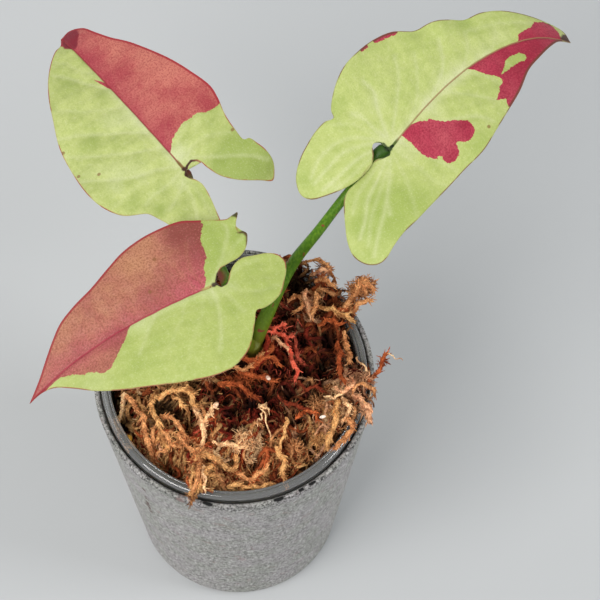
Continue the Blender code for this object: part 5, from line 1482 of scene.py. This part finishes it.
def make_stem_and_petioles():
    """The short stem and the three petioles, each wider toward its foot, where it clasps the stem,
    and bent into the underside of its blade."""
    share = np.linspace(0, 1, PETIOLE_STEPS)
    paths = [np.linspace((*STEM_PLACE, STEM_FOOT), (*STEM_PLACE, STEM_TOP), PETIOLE_STEPS)]
    radii = [STEM_RADIUS * (0.97 - 0.27 * (1 - share)**12 - 0.25 * share**9)]
    widening = (PETIOLE_FOOT_RADIUS - PETIOLE_TOP_RADIUS) * (1 - share)**2.2
    ending = 0.55 * np.clip((share - 0.96) / 0.04, 0, 1)
    for leaf in LEAVES:
        root, along, across, normal = leaf_frame(leaf)
        back, aside, knee = leaf["knee"]
        seat = root + along * 1.4 - normal * 0.75
        under = root + along * back + across * aside - normal * 2.0
        way = [(*STEM_PLACE, PETIOLE_FOOT), *PETIOLE_WAYS[leaf["name"]], under, seat]
        paths.append(smooth_path(way, PETIOLE_STEPS - 1))
        swelling = (knee - PETIOLE_TOP_RADIUS) * np.exp(-((share - 0.95) / 0.05)**2)
        radii.append(PETIOLE_TOP_RADIUS + swelling + widening - ending)
    points, quads, triangles, owner = tubes(np.array(paths), np.array(radii), PETIOLE_SIDES,
                                            (0.3, 1.0, 0.1))
    mesh = make_mesh("stem_and_petioles_skin", points, quads, triangles)
    rings = np.tile(np.repeat(share, PETIOLE_SIDES), len(paths))
    place = np.concatenate([rings, np.zeros(len(paths)), np.ones(len(paths))])
    set_values(mesh, "maroon", np.clip((place - 0.90) / 0.05, 0, 1) * (owner > 1))
    add_piece(mesh, petiole_finish(), "petiole_green", "stem_and_petioles")


def finish_roots():
    """The roots keep their solid shape and get a cream skin with brown patches."""
    finish = Finish("root_cream", Roughness=0.7)
    here = finish.here()
    patches = finish.noise(here, 0.6, 3.0, 0.6).step(0.45, 0.7)
    finish.set("Base Color", finish.mix(patches, (0.60, 0.50, 0.32), (0.36, 0.24, 0.12)))
    finish.relief(finish.noise(here, 2.5, 2.0, 0.5), 0.1)
    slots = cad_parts["roots"].data.materials
    slots.clear()
    slots.append(finish.material)


def add_floor():
    """A wide plain pale floor just under the pot."""
    finish = Finish("pale_floor", Base_Color=(0.55, 0.564, 0.574), Roughness=0.9,
                    Specular_IOR_Level=0.1)
    corners = [(-1, -1), (1, -1), (1, 1), (-1, 1)]
    points = [(x * FLOOR_REACH, y * FLOOR_REACH, FLOOR_LEVEL) for x, y in corners]
    mesh = make_mesh("floor", points, [(0, 1, 2, 3)])
    mesh.materials.append(finish.material)
    floor = show("floor", mesh)


def add_light(name, azimuth, elevation, width, power, colour):
    """A square soft box that faces the middle of the plant."""
    turn, rise = math.radians(azimuth), math.radians(elevation)
    away = np.array([math.cos(turn) * math.cos(rise), math.sin(turn) * math.cos(rise), math.sin(rise)])
    light = bpy.data.lights.new(name, "AREA")
    light.size = width * MM
    light.energy = power
    light.color = colour
    lamp = show(name, light)
    lamp.location = (away * LIGHT_DISTANCE + LIGHT_AIM) * MM
    lamp.rotation_euler = (math.pi / 2 - rise, 0, turn + math.pi / 2)


def add_camera():
    """The photograph's view, from high in front."""
    camera = bpy.data.cameras.new("camera")
    camera.lens = CAMERA_LENS
    camera.sensor_width = 36.0
    camera.clip_start = 50 * MM
    camera.clip_end = 50000 * MM
    holder = show("camera", camera)
    holder.location = np.array(CAMERA_PLACE) * MM
    holder.rotation_euler = (math.radians(CAMERA_TILT), 0, 0)
    bpy.context.scene.camera = holder


def add_world():
    """An even pale sky for soft fill light."""
    world = bpy.data.worlds.new("studio")
    world.use_nodes = True
    background = world.node_tree.nodes["Background"]
    background.inputs["Color"].default_value = (0.97, 0.99, 1.0, 1.0)
    background.inputs["Strength"].default_value = 0.475
    bpy.context.scene.world = world
    bpy.context.scene.view_settings.view_transform = "Standard"


add_camera()
add_world()
add_floor()
for light in LIGHTS:
    add_light(*light)
make_outer_pot()
make_inner_pot()
make_moss_bed()
make_moss()
make_stem_and_petioles()
finish_roots()
for leaf in LEAVES:
    make_leaf(leaf)
